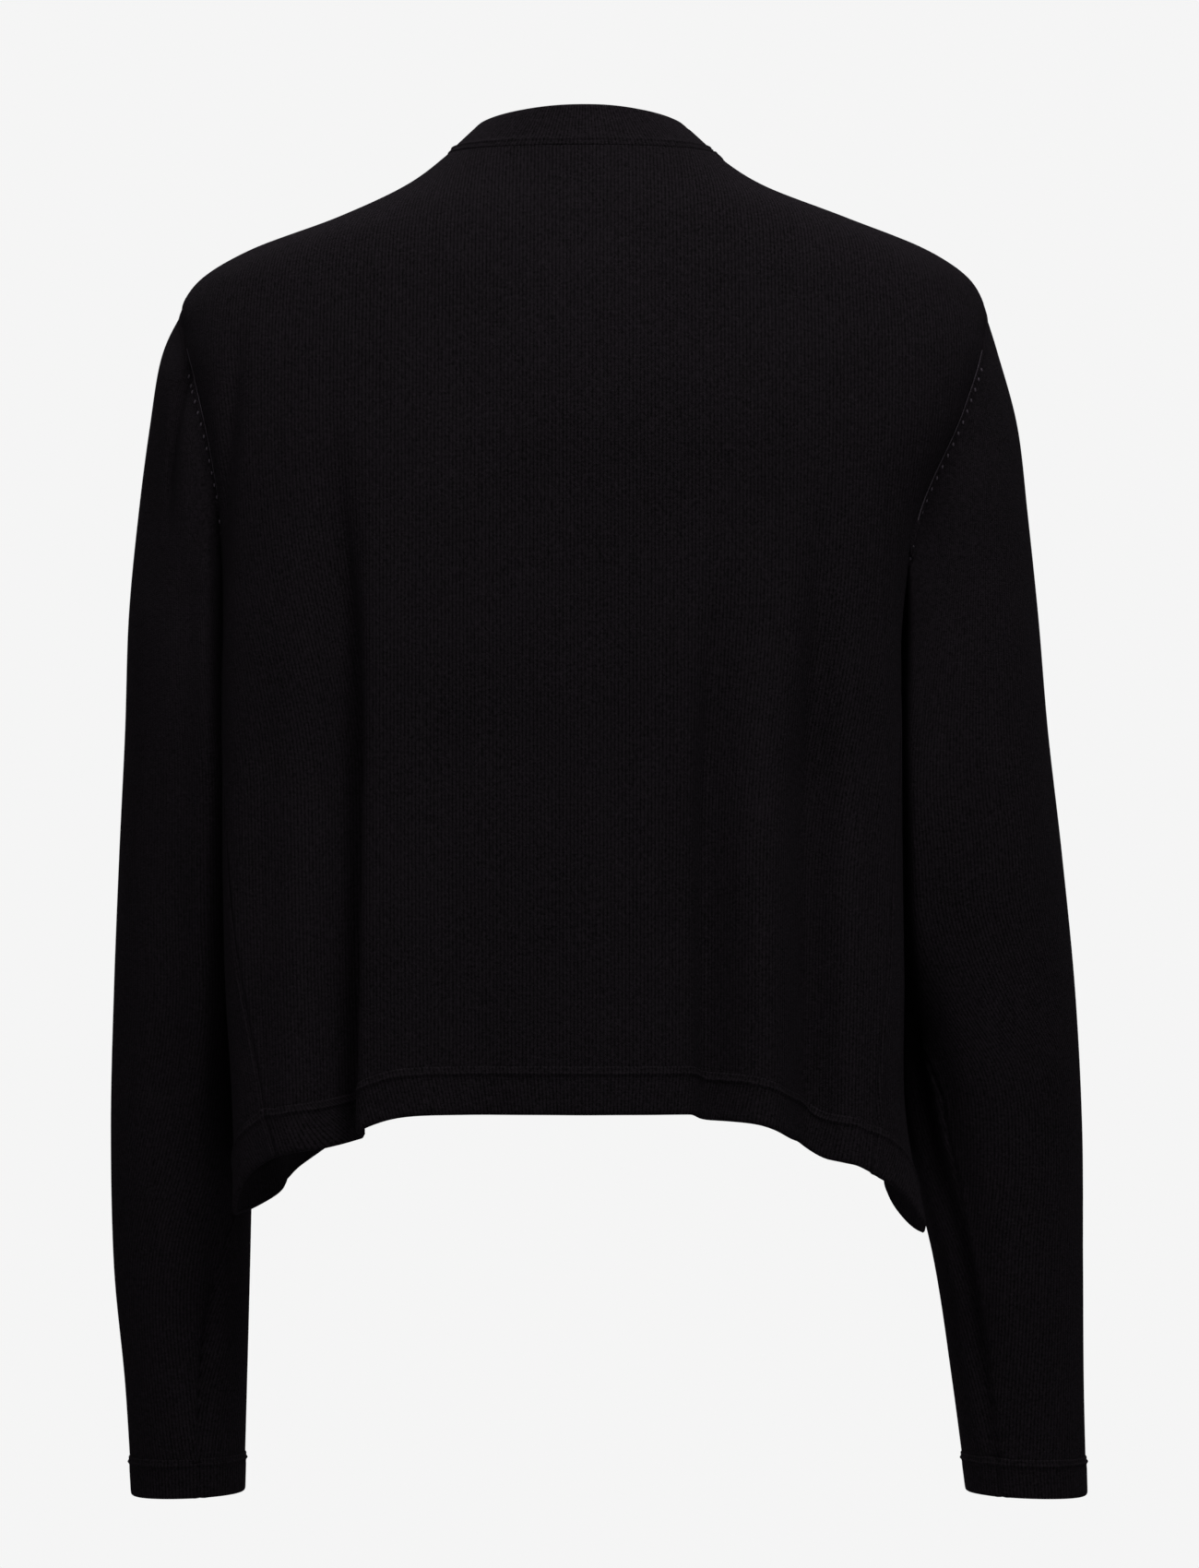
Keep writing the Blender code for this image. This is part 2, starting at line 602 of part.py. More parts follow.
def press_creases(side, rings, turn):
    """Press the sleeve's soft creases into its rings."""
    centre = rings.mean(axis=1, keepdims=True)
    out = rings - centre
    out = out / np.linalg.norm(out, axis=-1, keepdims=True)
    degrees = np.degrees(turn)[None, :]
    for row in SLEEVE_CREASES:
        crease = dict(zip(CREASE_COLUMNS, row))
        if crease["side"] != side:
            continue
        run = (crease["top"] - rings[..., 2]) / (crease["top"] - crease["bottom"])
        where = crease["top_turn"] + (crease["bottom_turn"] - crease["top_turn"]) * run
        offset = ((degrees - where + 180) % 360 - 180) / crease["width"]
        strength = np.sin(math.pi * np.clip(run, 0, 1)) ** CREASE_EVENNESS
        rings = rings - out * (crease["depth"] * np.exp(-offset ** 2) * strength)[..., None]
    return rings


def tube_normals(rings):
    """Outward normals of a tube."""
    round_it = np.roll(rings, -1, axis=1) - np.roll(rings, 1, axis=1)
    down_it = np.gradient(rings, axis=0)
    normals = np.cross(round_it, down_it)
    normals = normals / np.linalg.norm(normals, axis=-1, keepdims=True)
    centre = rings.mean(axis=1, keepdims=True)
    if np.sum(normals * (rings - centre)) < 0:
        normals = -normals
    return normals


def make_sleeve(word, side):
    """Sleeve tube and its rib cuff."""
    rings = sleeve_rings(side)
    normals = tube_normals(rings)
    loop_normals = body_frame(side, *armhole_places())[2]
    leaving = rings[1] - rings[0]
    bends_in = np.sum(leaving * loop_normals, axis=-1) < 0
    bends_in = (bends_in & (np.sum(normals[0] * loop_normals, axis=-1) > 0))[:, None]
    normals[0] = np.where(bends_in, loop_normals, normals[0])
    wrist = rings[-1]
    above = rings[-2]
    length = np.linalg.norm(wrist - above, axis=-1, keepdims=True)
    seam = wrist + (above - wrist) / length * CUFF_DEPTH
    rings = np.concatenate([rings[:-1][stands_above(rings, seam)], seam[None]])
    normals = np.concatenate([normals[:len(rings) - 1], normals[-1:]])
    wall("sleeve_" + word, rings, normals, JERSEY, KNIT_BLACK, closed=True,
         edges=("bottom", "top"))
    share = np.linspace(0, 1, ROWS_BAND + 1)[:, None, None]
    cuff = seam[None] + (wrist - seam)[None] * share
    cuff_normals = np.repeat(normals[-1:], ROWS_BAND + 1, axis=0)
    wall("cuff_" + word, cuff, cuff_normals, RIB, RIB_BLACK, closed=True,
         edges=("bottom",))


def stands_above(rings, seam):
    """Which rings, the last left out, lie well above the cuff's seam."""
    return rings[:-1, :, 2].mean(axis=1) > seam[:, 2].mean() + RING_CLEARANCE


for old in list(bpy.data.objects):
    bpy.data.objects.remove(old)

COLLECTION = bpy.data.collections.new("knitted_shrug")
bpy.context.scene.collection.children.link(COLLECTION)

make_back()
make_neckband()
for word, wearer_side in (("left", -1), ("right", 1)):
    make_front("front_" + word, wearer_side)
    make_front_band("front_band_" + word, wearer_side)
    make_sleeve(word, wearer_side)
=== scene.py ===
"""Looks of the knitted shrug: fine black knit, filled out as worn and seen from the back.

Metres, +Z up. The wearer faces +Y, so the camera looks along +Y at the back of the shrug.
"""
import math

import bpy
import numpy as np
from mathutils import Matrix, Vector


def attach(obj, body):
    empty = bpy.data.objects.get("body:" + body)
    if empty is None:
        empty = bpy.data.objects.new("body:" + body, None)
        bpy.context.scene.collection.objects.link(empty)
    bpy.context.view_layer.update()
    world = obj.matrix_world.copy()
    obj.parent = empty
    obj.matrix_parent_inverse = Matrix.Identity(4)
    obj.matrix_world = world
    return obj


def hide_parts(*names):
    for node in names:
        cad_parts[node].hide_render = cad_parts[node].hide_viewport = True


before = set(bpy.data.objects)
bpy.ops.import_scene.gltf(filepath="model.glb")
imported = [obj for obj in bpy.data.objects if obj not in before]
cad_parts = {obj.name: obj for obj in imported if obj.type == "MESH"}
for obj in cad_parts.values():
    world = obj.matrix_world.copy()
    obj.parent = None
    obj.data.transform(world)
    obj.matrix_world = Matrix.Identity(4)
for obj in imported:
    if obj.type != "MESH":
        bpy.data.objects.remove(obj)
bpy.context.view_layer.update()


# Studio
# A pale floor well below the cuffs, an even pale surround, three large soft lights on the back
# of the shrug and three on its front. The camera stands level, 3.5 m behind it.
PHOTO_WIDTH = 1300
METRES_PER_PIXEL = 0.000465
CAMERA_DISTANCE = 3.5
CAMERA_X = 0.007
CAMERA_HEIGHT = -0.316
SENSOR_WIDTH = 36.0
FLOOR_HEIGHT = -1.20
FLOOR_SIZE = 8.0
FLOOR_PALE = "#B0B0B2"
FLOOR_ROUGHNESS = 0.9
SURROUND_PALE = "#F5F5F5"
# The surround and the floor are lit apart from the shrug, so both look brighter than the
# light that they give it
SURROUND_LIGHT = 0.20
FLOOR_GLOW = 0.50
# A row for each light: name, place, point it faces, width and height, power in watts
STUDIO_LIGHTS = (
    ("key_light", (0.80, -1.8, 1.75), (0.0, 0.0, -0.15), 0.9, 0.9, 53.0),
    ("fill_light", (-0.90, -1.9, 1.45), (0.0, 0.0, -0.15), 0.9, 0.9, 24.0),
    ("top_light", (0.15, -0.75, 1.4), (0.0, -0.1, -0.05), 0.9, 0.7, 26.0),
    ("front_key_light", (-0.9, 2.1, 1.5), (0.0, 0.0, -0.25), 1.2, 1.2, 90.0),
    ("front_fill_light", (0.9, 2.1, 1.3), (0.0, 0.0, -0.25), 1.2, 1.2, 60.0),
    ("front_top_light", (-0.1, 0.9, 1.3), (0.0, 0.1, -0.20), 0.9, 0.7, 15.0),
)


def linear(colour):
    """A hex colour as linear red, green, blue and alpha."""
    parts = [int(colour[i:i + 2], 16) / 255 for i in (1, 3, 5)]
    return [p / 12.92 if p <= 0.04045 else ((p + 0.055) / 1.055) ** 2.4 for p in parts] + [1.0]


def add_node(tree, kind, settings=None, **links):
    """A new node with its settings, and its sockets given a value or linked."""
    node = tree.nodes.new(kind)
    for key, value in (settings or {}).items():
        setattr(node, key, value)
    for key, value in links.items():
        socket = node.inputs[int(key[1:])] if key[1:].isdigit() else node.inputs[key.replace("_", " ")]
        if isinstance(value, bpy.types.NodeSocket):
            tree.links.new(value, socket)
        else:
            socket.default_value = value
    return node


def matt_material(name, colour, roughness):
    """A matt material and its shader node."""
    material = bpy.data.materials.new(name)
    material.use_nodes = True
    shader = material.node_tree.nodes["Principled BSDF"]
    shader.inputs["Base Color"].default_value = linear(colour)
    shader.inputs["Roughness"].default_value = roughness
    return material, shader


def seen_strength(tree, unseen, seen):
    """A strength with one value in the light that a thing gives and one in how it looks."""
    ray = add_node(tree, "ShaderNodeLightPath")
    strength = add_node(tree, "ShaderNodeMapRange", Value=ray.outputs["Is Camera Ray"],
                        To_Min=unseen, To_Max=seen)
    return strength.outputs[0]


def point_at(placed, target):
    """Turn a light or camera to face a point."""
    placed.rotation_euler = (Vector(target) - placed.location).to_track_quat("-Z", "Y").to_euler()


bpy.ops.object.select_all(action="DESELECT")
bpy.ops.mesh.primitive_plane_add(size=FLOOR_SIZE, location=(0, 0, FLOOR_HEIGHT))
floor = bpy.context.object
floor.name = "studio_floor"
floor_paint, floor_shader = matt_material("floor_matt_paint", FLOOR_PALE, FLOOR_ROUGHNESS)
floor_shader.inputs["Emission Color"].default_value = linear(SURROUND_PALE)
floor_paint.node_tree.links.new(seen_strength(floor_paint.node_tree, 0.0, FLOOR_GLOW),
                                floor_shader.inputs["Emission Strength"])
floor.data.materials.append(floor_paint)

surround = bpy.data.worlds.new("pale_surround")
surround.use_nodes = True
background = surround.node_tree.nodes["Background"]
background.inputs["Color"].default_value = linear(SURROUND_PALE)
surround.node_tree.links.new(seen_strength(surround.node_tree, SURROUND_LIGHT, 1.0),
                             background.inputs["Strength"])
bpy.context.scene.world = surround

for light_name, place, target, width, height, power in STUDIO_LIGHTS:
    bpy.ops.object.light_add(type="AREA", location=place)
    light = bpy.context.object
    light.name = light_name
    light.data.shape = "RECTANGLE"
    light.data.size = width
    light.data.size_y = height
    light.data.energy = power
    point_at(light, target)

bpy.ops.object.camera_add(location=(CAMERA_X, -CAMERA_DISTANCE, CAMERA_HEIGHT))
camera = bpy.context.object
camera.name = "photo_camera"
camera.data.sensor_fit = "HORIZONTAL"
camera.data.sensor_width = SENSOR_WIDTH
camera.data.lens = SENSOR_WIDTH * CAMERA_DISTANCE / (PHOTO_WIDTH * METRES_PER_PIXEL)
point_at(camera, (CAMERA_X, 0.0, CAMERA_HEIGHT))
bpy.context.scene.camera = camera
bpy.context.scene.view_settings.view_transform = "Standard"


# Back panel
# One fully fashioned piece of fine jersey, knitted to shape from the band up: side seams,
# armholes, shoulders and neck. It hangs in soft folds that deepen towards the hem.
JERSEY = 0.0013
RIB = 0.0024
BAND_WIDTH = 0.024
# Places round each half of the form run from 0 at centre back to 1 at centre front
EDGE_AT = 0.45
SIDE_AT = 0.60
SHOULDER_AT = 0.525
BACK_POWER = 2.3
FRONT_POWER = 2.2
FOLD_GROWTH = 0.45
FACE_BLEND = 0.05
FINE_STEPS = 24
# The solids' own counts of quads, which say how far apart their rows stand along an edge
SOLID_SEAM = 11
SOLID_ARMHOLE = 12
SOLID_SHOULDER = 7
DEEP_FOLD_SHARE = -0.62
SECOND_FOLD_SHARE = 0.66
NECK_TOP = 0.0150

BODY_COLUMNS = ("height", "left_edge", "right_edge", "edge_back", "back_depth",
                "side_reach", "side_fore", "front_depth")
BODY_SECTIONS = (
    (-0.560, 0.178, 0.177, 0.062, 0.118, 0.152, -0.010, 0.098),
    (-0.520, 0.175, 0.168, 0.063, 0.118, 0.152, -0.011, 0.100),
    (-0.470, 0.176, 0.159, 0.064, 0.118, 0.151, -0.012, 0.102),
    (-0.400, 0.182, 0.158, 0.065, 0.117, 0.150, -0.013, 0.106),
    (-0.310, 0.184, 0.157, 0.064, 0.116, 0.149, -0.013, 0.108),
    (-0.225, 0.183, 0.158, 0.062, 0.116, 0.150, -0.008, 0.104),
    (-0.180, 0.183, 0.166, 0.059, 0.114, 0.160, 0.004, 0.098),
    (-0.130, 0.191, 0.188, 0.050, 0.110, 0.178, 0.014, 0.089),
    (-0.095, 0.199, 0.198, 0.034, 0.104, 0.192, 0.014, 0.080),
    (-0.073, 0.201, 0.199, 0.014, 0.099, 0.200, 0.012, 0.073),
    (-0.062, 0.192, 0.192, 0.012, 0.096, 0.192, 0.011, 0.069),
    (-0.049, 0.170, 0.173, 0.011, 0.091, 0.172, 0.010, 0.064),
    (-0.032, 0.125, 0.131, 0.010, 0.084, 0.129, 0.009, 0.058),
    (-0.016, 0.091, 0.090, 0.009, 0.075, 0.091, 0.008, 0.052),
    (0.000, 0.0695, 0.0655, 0.008, 0.067, 0.0675, 0.007, 0.047),
    (0.010, 0.0585, 0.0540, 0.007, 0.062, 0.0560, 0.006, 0.042),
    (0.0225, 0.0455, 0.0405, 0.006, 0.057, 0.0430, 0.005, 0.037),
)
REACH_COLUMNS = ("reach", "height")
FRONT_EDGE = (
    (0.0475, 0.0125),
    (0.0490, 0.0020),
    (0.0490, -0.0170),
    (0.0485, -0.0450),
    (0.0480, -0.0850),
    (0.0460, -0.1400),
    (0.0460, -0.2000),
    (0.0490, -0.2600),
    (0.0560, -0.3200),
    (0.0680, -0.3750),
    (0.0850, -0.4250),
    (0.1060, -0.4680),
    (0.1290, -0.4980),
)
PLACE_COLUMNS = ("around", "height")
HEM_EDGE = (
    (0.655, -0.5125),
    (0.605, -0.5165),
    (0.550, -0.5215),
    (0.500, -0.5255),
    (0.455, -0.5265),
    (0.425, -0.5230),
    (0.390, -0.5150),
    (0.345, -0.5045),
    (0.290, -0.4960),
    (0.245, -0.4925),
    (0.190, -0.4865),
    (0.140, -0.4790),
    (0.080, -0.4775),
    (0.000, -0.4775),
)
SIDE_SEAM = ((0.290, -0.4960), (0.312, -0.4720), (0.345, -0.4000), (0.400, -0.3100),
             (0.490, -0.2250))
ARMHOLE_BACK = ((0.490, -0.2250), (0.455, -0.2020), (0.436, -0.1700), (0.424, -0.1350),
                (0.432, -0.1040), (0.465, -0.0820), (0.525, -0.0730))
# The first seven folds are the solids' own, but the first lies about 3 mm further out. The
# rest are finer troughs and swells beside them and between
FOLD_COLUMNS = ("side", "face", "top", "bottom", "top_reach", "bottom_reach",
                "depth", "width", "underlap", "drop")
FOLDS = (
    (-1, "back", -0.120, -0.560, 0.1205, 0.1285, 0.0130, 0.0105, 0.0130, 0.0030),
    (-1, "back", -0.330, -0.560, 0.0500, 0.0560, 0.0030, 0.0180, 0.0000, 0.0000),
    (1, "back", -0.250, -0.560, 0.0500, 0.0560, 0.0050, 0.0150, 0.0020, 0.0030),
    (1, "back", -0.190, -0.560, 0.1110, 0.1120, 0.0085, 0.0120, 0.0060, 0.0060),
    (1, "back", -0.340, -0.560, 0.1300, 0.1320, 0.0010, 0.0140, 0.0000, 0.0030),
    (-1, "front", -0.150, -0.560, 0.0950, 0.1050, 0.0070, 0.0140, 0.0030, 0.0000),
    (1, "front", -0.140, -0.560, 0.1000, 0.0960, 0.0060, 0.0150, 0.0030, 0.0000),
    (-1, "back", -0.110, -0.560, 0.1240, 0.1315, 0.0085, 0.0050, 0.0060, 0.0000),
    (-1, "back", -0.090, -0.560, 0.1870, 0.1870, 0.0022, 0.0100, 0.0035, 0.0000),
    (-1, "back", -0.075, -0.260, 0.1690, 0.1860, 0.0055, 0.0045, 0.0010, 0.0000),
    (1, "back", -0.170, -0.560, 0.0655, 0.0685, 0.0125, 0.0095, 0.0070, 0.0000),
    (1, "back", -0.120, -0.560, 0.1170, 0.1190, 0.0095, 0.0075, 0.0030, 0.0000),
    (-1, "back", -0.190, -0.560, 0.0860, 0.0900, -0.0018, 0.0130, 0.0000, 0.0000),
    (-1, "back", -0.260, -0.560, 0.0160, 0.0200, 0.0016, 0.0120, 0.0000, 0.0000),
    (1, "back", -0.240, -0.560, 0.0850, 0.0880, -0.0034, 0.0120, 0.0000, 0.0000),
    (1, "back", -0.240, -0.560, 0.0200, 0.0150, 0.0012, 0.0110, 0.0000, 0.0000),
    (1, "back", -0.120, -0.560, 0.1420, 0.1430, 0.0018, 0.0080, 0.0000, 0.0000),
    (1, "back", -0.150, -0.520, 0.1580, 0.1570, 0.0040, 0.0080, 0.0000, 0.0000),
    (-1, "back", -0.200, -0.560, 0.1560, 0.1600, 0.0020, 0.0100, 0.0000, 0.0000),
    (-1, "front", -0.170, -0.560, 0.0700, 0.0760, 0.0022, 0.0090, 0.0000, 0.0000),
    (1, "front", -0.200, -0.560, 0.0740, 0.0700, 0.0020, 0.0100, 0.0000, 0.0000),
    (-1, "front", -0.210, -0.560, 0.1280, 0.1330, 0.0024, 0.0100, 0.0000, 0.0000),
    (1, "front", -0.180, -0.560, 0.1250, 0.1290, 0.0026, 0.0110, 0.0000, 0.0000),
)
BACK_CUT = (0.435, 0.500)
# Spacing of the mesh over the cloth, and the closer steps beside a seam
MESH_PITCH = 0.0027
SEAM_STEPS = (0.0, 0.0006, 0.0012, 0.0019, 0.0029, 0.0043)
# The cloth rolls in this far at a seam, and stands up a little beside it
SEAM_ROLL = 0.0006
SEAM_ROLL_WIDTH = 0.0009
SEAM_WELT = 0.0004
SEAM_WELT_WIDTH = 0.0010
SEAM_WELT_AT = 0.0026
# Each sewn edge goes on by its seam allowance: how far onward, and how far inward
SEAM_WAYS = {"turned": (0.0002, 0.0032), "tucked": (0.0026, 0.0001), "linked": (0.0007, 0.0001),
             "butted": (0.0005, 0.0)}
# Points nearer than this are sewn into one along a tube's seam
SEWN_WITHIN = 0.00001
# Steps over which the form's tangents are measured
TURN_STEP = 0.004
RISE_STEP = 0.0015
LEAST_TURN = 1e-6
FARTHEST_FOLD = 0.98

# Yarn and stitches: a fine gauge with 5.5 wales and 7.5 courses to the centimetre
WALE = 0.0018
COURSE = 0.0013
KNIT_COLOUR = "#161316"
# The valley colour is painted shade: the knit is mixed towards it where its stitch relief lies low
PAINTED_VALLEY_SHADE = "#040404"
KNIT_ROUGHNESS = 0.82
VALLEY_STEEPNESS = 2.5
# For jersey and rib: how far a stitch's legs lean, and how clear its courses are
JERSEY_STITCH = (0.9, 0.16)
RIB_STITCH = (0.25, 0.06)
HAZE_SCALE = 700.0
HAZE_DETAIL = 4.0
HAZE_ROUGHNESS = 0.7
HAZE_RANGE = (0.3, 0.7)
HAZE_RELIEF = 1.5
PATCH_SCALE = 14.0
PATCH_DETAIL = 2.0
PATCH_TONE = 0.12
# Stretch of the stitch relief over which the painted shade runs from the valley colour to the yarn's
RELIEF_SHADE_RANGE = (-0.5, 1.5)
RELIEF_STRENGTH = 0.55
RELIEF_HEIGHT = 0.00035
SHEEN = 0.008
SHEEN_ROUGHNESS = 0.5
SHEEN_TINT = "#B9B2BD"


def column(rows, names, name):
    """One named column of a table."""
    return np.array(rows)[:, names.index(name)]


def through(places, values, at):
    """Smooth curve through the values of one table column."""
    places = np.asarray(places, float)
    values = np.asarray(values, float)
    at = np.clip(np.asarray(at, float), places[0], places[-1])
    slopes = np.gradient(values, places)
    row = np.clip(np.searchsorted(places, at) - 1, 0, len(places) - 2)
    step = places[row + 1] - places[row]
    t = (at - places[row]) / step
    start = (1 + 2 * t) * (1 - t) ** 2 * values[row] + t * (1 - t) ** 2 * step * slopes[row]
    end = t * t * (3 - 2 * t) * values[row + 1] - t * t * (1 - t) * step * slopes[row + 1]
    return start + end


def ease(t):
    """0 to 1 with level ends."""
    t = np.clip(t, 0.0, 1.0)
    return t * t * (3 - 2 * t)


def section(height):
    """The named sizes of the body's section at a height."""
    heights = column(BODY_SECTIONS, BODY_COLUMNS, "height")
    return {name: through(heights, column(BODY_SECTIONS, BODY_COLUMNS, name), height)
            for name in BODY_COLUMNS[1:]}


def fold_push(side, x, y, height):
    """How the folds move a point of the form: across, inward and down."""
    across = np.zeros_like(x)
    inward = np.zeros_like(x)
    down = np.zeros_like(x)
    for row in FOLDS:
        fold = dict(zip(FOLD_COLUMNS, row))
        if fold["side"] != side:
            continue
        facing = -1.0 if fold["face"] == "back" else 1.0
        run = np.clip((fold["top"] - height) / (fold["top"] - fold["bottom"]), 0.0, 1.0)
        reach = fold["top_reach"] + (fold["bottom_reach"] - fold["top_reach"]) * run
        strength = ease(run / FOLD_GROWTH) * ease(y * facing / FACE_BLEND)
        offset = (x * side - reach) / fold["width"]
        push = np.exp(-offset ** 2) * strength
        across = across - side * fold["underlap"] * push
        inward = inward - facing * fold["depth"] * push
        down = down + fold["drop"] * ease(offset) * strength
    return across, inward, down


def body_point(side, around, height):
    """A point of the form, on the wearer's left (-1) or right (1)."""
    around, height = np.broadcast_arrays(np.asarray(around, float), np.asarray(height, float))
    size = section(height)
    edge = size["left_edge"] if side < 0 else size["right_edge"]
    turn = np.clip(around / EDGE_AT, 0, 1) * math.pi / 2
    bend = 2 / BACK_POWER
    back_x = edge * np.sin(turn) ** bend
    flat = size["back_depth"] - size["edge_back"]
    back_y = -size["edge_back"] - flat * np.clip(np.cos(turn), 0, 1) ** bend
    part = np.clip((around - EDGE_AT) / (SIDE_AT - EDGE_AT), 0, 1)
    side_x = edge + (size["side_reach"] - edge) * ease(part)
    side_y = -size["edge_back"] + (size["side_fore"] + size["edge_back"]) * part
    turn = np.clip((around - SIDE_AT) / (1 - SIDE_AT), 0, 1) * math.pi / 2
    bend = 2 / FRONT_POWER
    front_x = size["side_reach"] * np.clip(np.cos(turn), 0, 1) ** bend
    front_y = size["side_fore"] + (size["front_depth"] - size["side_fore"]) * np.sin(turn) ** bend
    x = side * np.where(around < EDGE_AT, back_x, np.where(around < SIDE_AT, side_x, front_x))
    y = np.where(around < EDGE_AT, back_y, np.where(around < SIDE_AT, side_y, front_y))
    across, inward, down = fold_push(side, x, y, height)
    return np.stack([x + across, y + inward, height - down], axis=-1)


def body_frame(side, around, height):
    """The form's two tangents and its outward normal at a place."""
    low = np.maximum(np.asarray(around, float) - TURN_STEP, LEAST_TURN)
    along = body_point(side, around + TURN_STEP, height) - body_point(side, low, height)
    along = along / (around + TURN_STEP - low)[..., None]
    rise = body_point(side, around, height + RISE_STEP)
    rise = (rise - body_point(side, around, height - RISE_STEP)) / (2 * RISE_STEP)
    normal = side * np.cross(along, rise)
    normal = normal / np.linalg.norm(normal, axis=-1, keepdims=True)
    return along, rise, normal


def both_sides(around, height):
    """Points of the form for signed places: left of centre back is negative."""
    on_left = (around < 0)[..., None]
    left, right = body_point(-1, abs(around), height), body_point(1, abs(around), height)
    return np.where(on_left, left, right)


def running_length(points):
    """Distance along a line of points."""
    return np.concatenate([[0], np.cumsum(np.linalg.norm(np.diff(points, axis=0), axis=1))])


def along_line(side, line, shares):
    """Places at shares of the length of a line of places."""
    run = running_length(body_point(side, *line))
    at = np.asarray(shares) * run[-1]
    return np.interp(at, run, line[0]), np.interp(at, run, line[1])


def table_line(rows):
    """A smooth line of places through table rows of around and height."""
    order = np.arange(len(rows))
    fine = np.linspace(0, len(rows) - 1, (len(rows) - 1) * FINE_STEPS + 1)
    around = through(order, column(rows, PLACE_COLUMNS, "around"), fine)
    height = through(order, column(rows, PLACE_COLUMNS, "height"), fine)
    return around, height


def free_edge():
    """The free edge from the side neck to the side seam, and from there to centre back."""
    reach = column(FRONT_EDGE, REACH_COLUMNS, "reach")
    height = column(FRONT_EDGE, REACH_COLUMNS, "height")
    share = np.clip(reach / section(height)["side_reach"], 0, 1) ** (FRONT_POWER / 2)
    around = SIDE_AT + (1 - SIDE_AT) * np.arccos(share) / (math.pi / 2)
    rows = [(SHOULDER_AT, NECK_TOP)] + list(zip(around, height))
    front_rows = len(rows)
    around, height = table_line(rows + list(HEM_EDGE))
    seam_row = front_rows + [row[0] for row in HEM_EDGE].index(SIDE_SEAM[0][0])
    cut = seam_row * FINE_STEPS
    return (around[:cut + 1], height[:cut + 1]), (around[cut:], height[cut:])


def hem_height(around):
    """Height of the back hem's free edge."""
    _front, (edge_around, edge_height) = free_edge()
    return np.interp(around, edge_around[::-1], edge_height[::-1])


def outer_boundary(armhole, rows):
    """Side seam, armhole and shoulder seam, at places counted in the solids' rows."""
    shoulder = (np.full(FINE_STEPS, SHOULDER_AT), np.linspace(armhole[-1][1], 0.0, FINE_STEPS))
    foot, tip = SOLID_SEAM, SOLID_SEAM + SOLID_ARMHOLE
    seam_at = along_line(1, table_line(SIDE_SEAM[1:]), np.clip(rows / foot, 0, 1))
    hole_at = along_line(1, table_line(armhole), np.clip((rows - foot) / SOLID_ARMHOLE, 0, 1))
    top_at = along_line(1, shoulder, np.clip((rows - tip) / SOLID_SHOULDER, 0, 1))
    around = np.where(rows < foot, seam_at[0], np.where(rows < tip, hole_at[0], top_at[0]))
    height = np.where(rows < foot, seam_at[1], np.where(rows < tip, hole_at[1], top_at[1]))
    return around, height


def spacing(length, fine_start=True, fine_end=True):
    """Shares of a length at the mesh's pitch, closer together beside a seam."""
    start = np.array(SEAM_STEPS) if fine_start else np.array([0.0])
    end = length - np.array(SEAM_STEPS)[::-1] if fine_end else np.array([length])
    count = max(2, round((end[0] - start[-1]) / MESH_PITCH))
    middle = np.linspace(start[-1], end[0], count + 1)[1:-1]
    return np.concatenate([start, middle, end]) / length


def in_rows(shares_by_part, counts):
    """Join the shares of successive parts into one run counted in the solids' rows."""
    run = []
    done = 0
    for shares, count in zip(shares_by_part, counts):
        part = done + np.asarray(shares) * count
        run.append(part if not run else part[1:])
        done += count
    return np.concatenate(run)


def grid_normals(points, middle=None):
    """Outward normals of a grid of points. A tube gives its middle, and its ends meet."""
    across = np.gradient(points, axis=1)
    if middle is not None:
        across[:, 0] = across[:, -1] = points[:, 1] - points[:, -2]
    normals = np.cross(across, np.gradient(points, axis=0))
    normals = normals / np.linalg.norm(normals, axis=-1, keepdims=True)
    away = points * (1.0, 1.0, 0.0) if middle is None else points - middle
    return normals if (normals * away).sum() > 0 else -normals


def edge_distance(points, edge):
    """Distance of each grid point from one edge, measured along the cloth."""
    axis = 0 if edge in ("bottom", "top") else 1
    steps = np.linalg.norm(np.diff(points, axis=axis), axis=-1)
    zero = np.zeros_like(points[:1, :, 0] if axis == 0 else points[:, :1, 0])
    run = np.concatenate([zero, np.cumsum(steps, axis=axis)], axis=axis)
    if edge in ("bottom", "start"):
        return run
    last = run[-1:] if axis == 0 else run[:, -1:]
    return last - run


def roll_seams(points, normals, edges, roll=SEAM_ROLL, welt=SEAM_WELT):
    """Let the cloth dip where it is sewn to its neighbour, and swell a little beside it."""
    for edge in edges:
        distance = edge_distance(points, edge)
        dip = roll * np.exp(-(distance / SEAM_ROLL_WIDTH) ** 2)
        swell = welt * np.exp(-((distance - SEAM_WELT_AT) / SEAM_WELT_WIDTH) ** 2)
        points = points + normals * (swell - dip)[..., None]
    return points


def wale_map(points, zero_column):
    """Distance across the cloth from one column, and up it along that column, in metres."""
    across = np.linalg.norm(np.diff(points, axis=1), axis=-1)
    across = np.concatenate([np.zeros((len(points), 1)), np.cumsum(across, axis=1)], axis=1)
    across = across - across[:, zero_column:zero_column + 1]
    up = running_length(points[:, zero_column])
    return np.stack([across, np.repeat(up[:, None], points.shape[1], axis=1)], axis=-1)


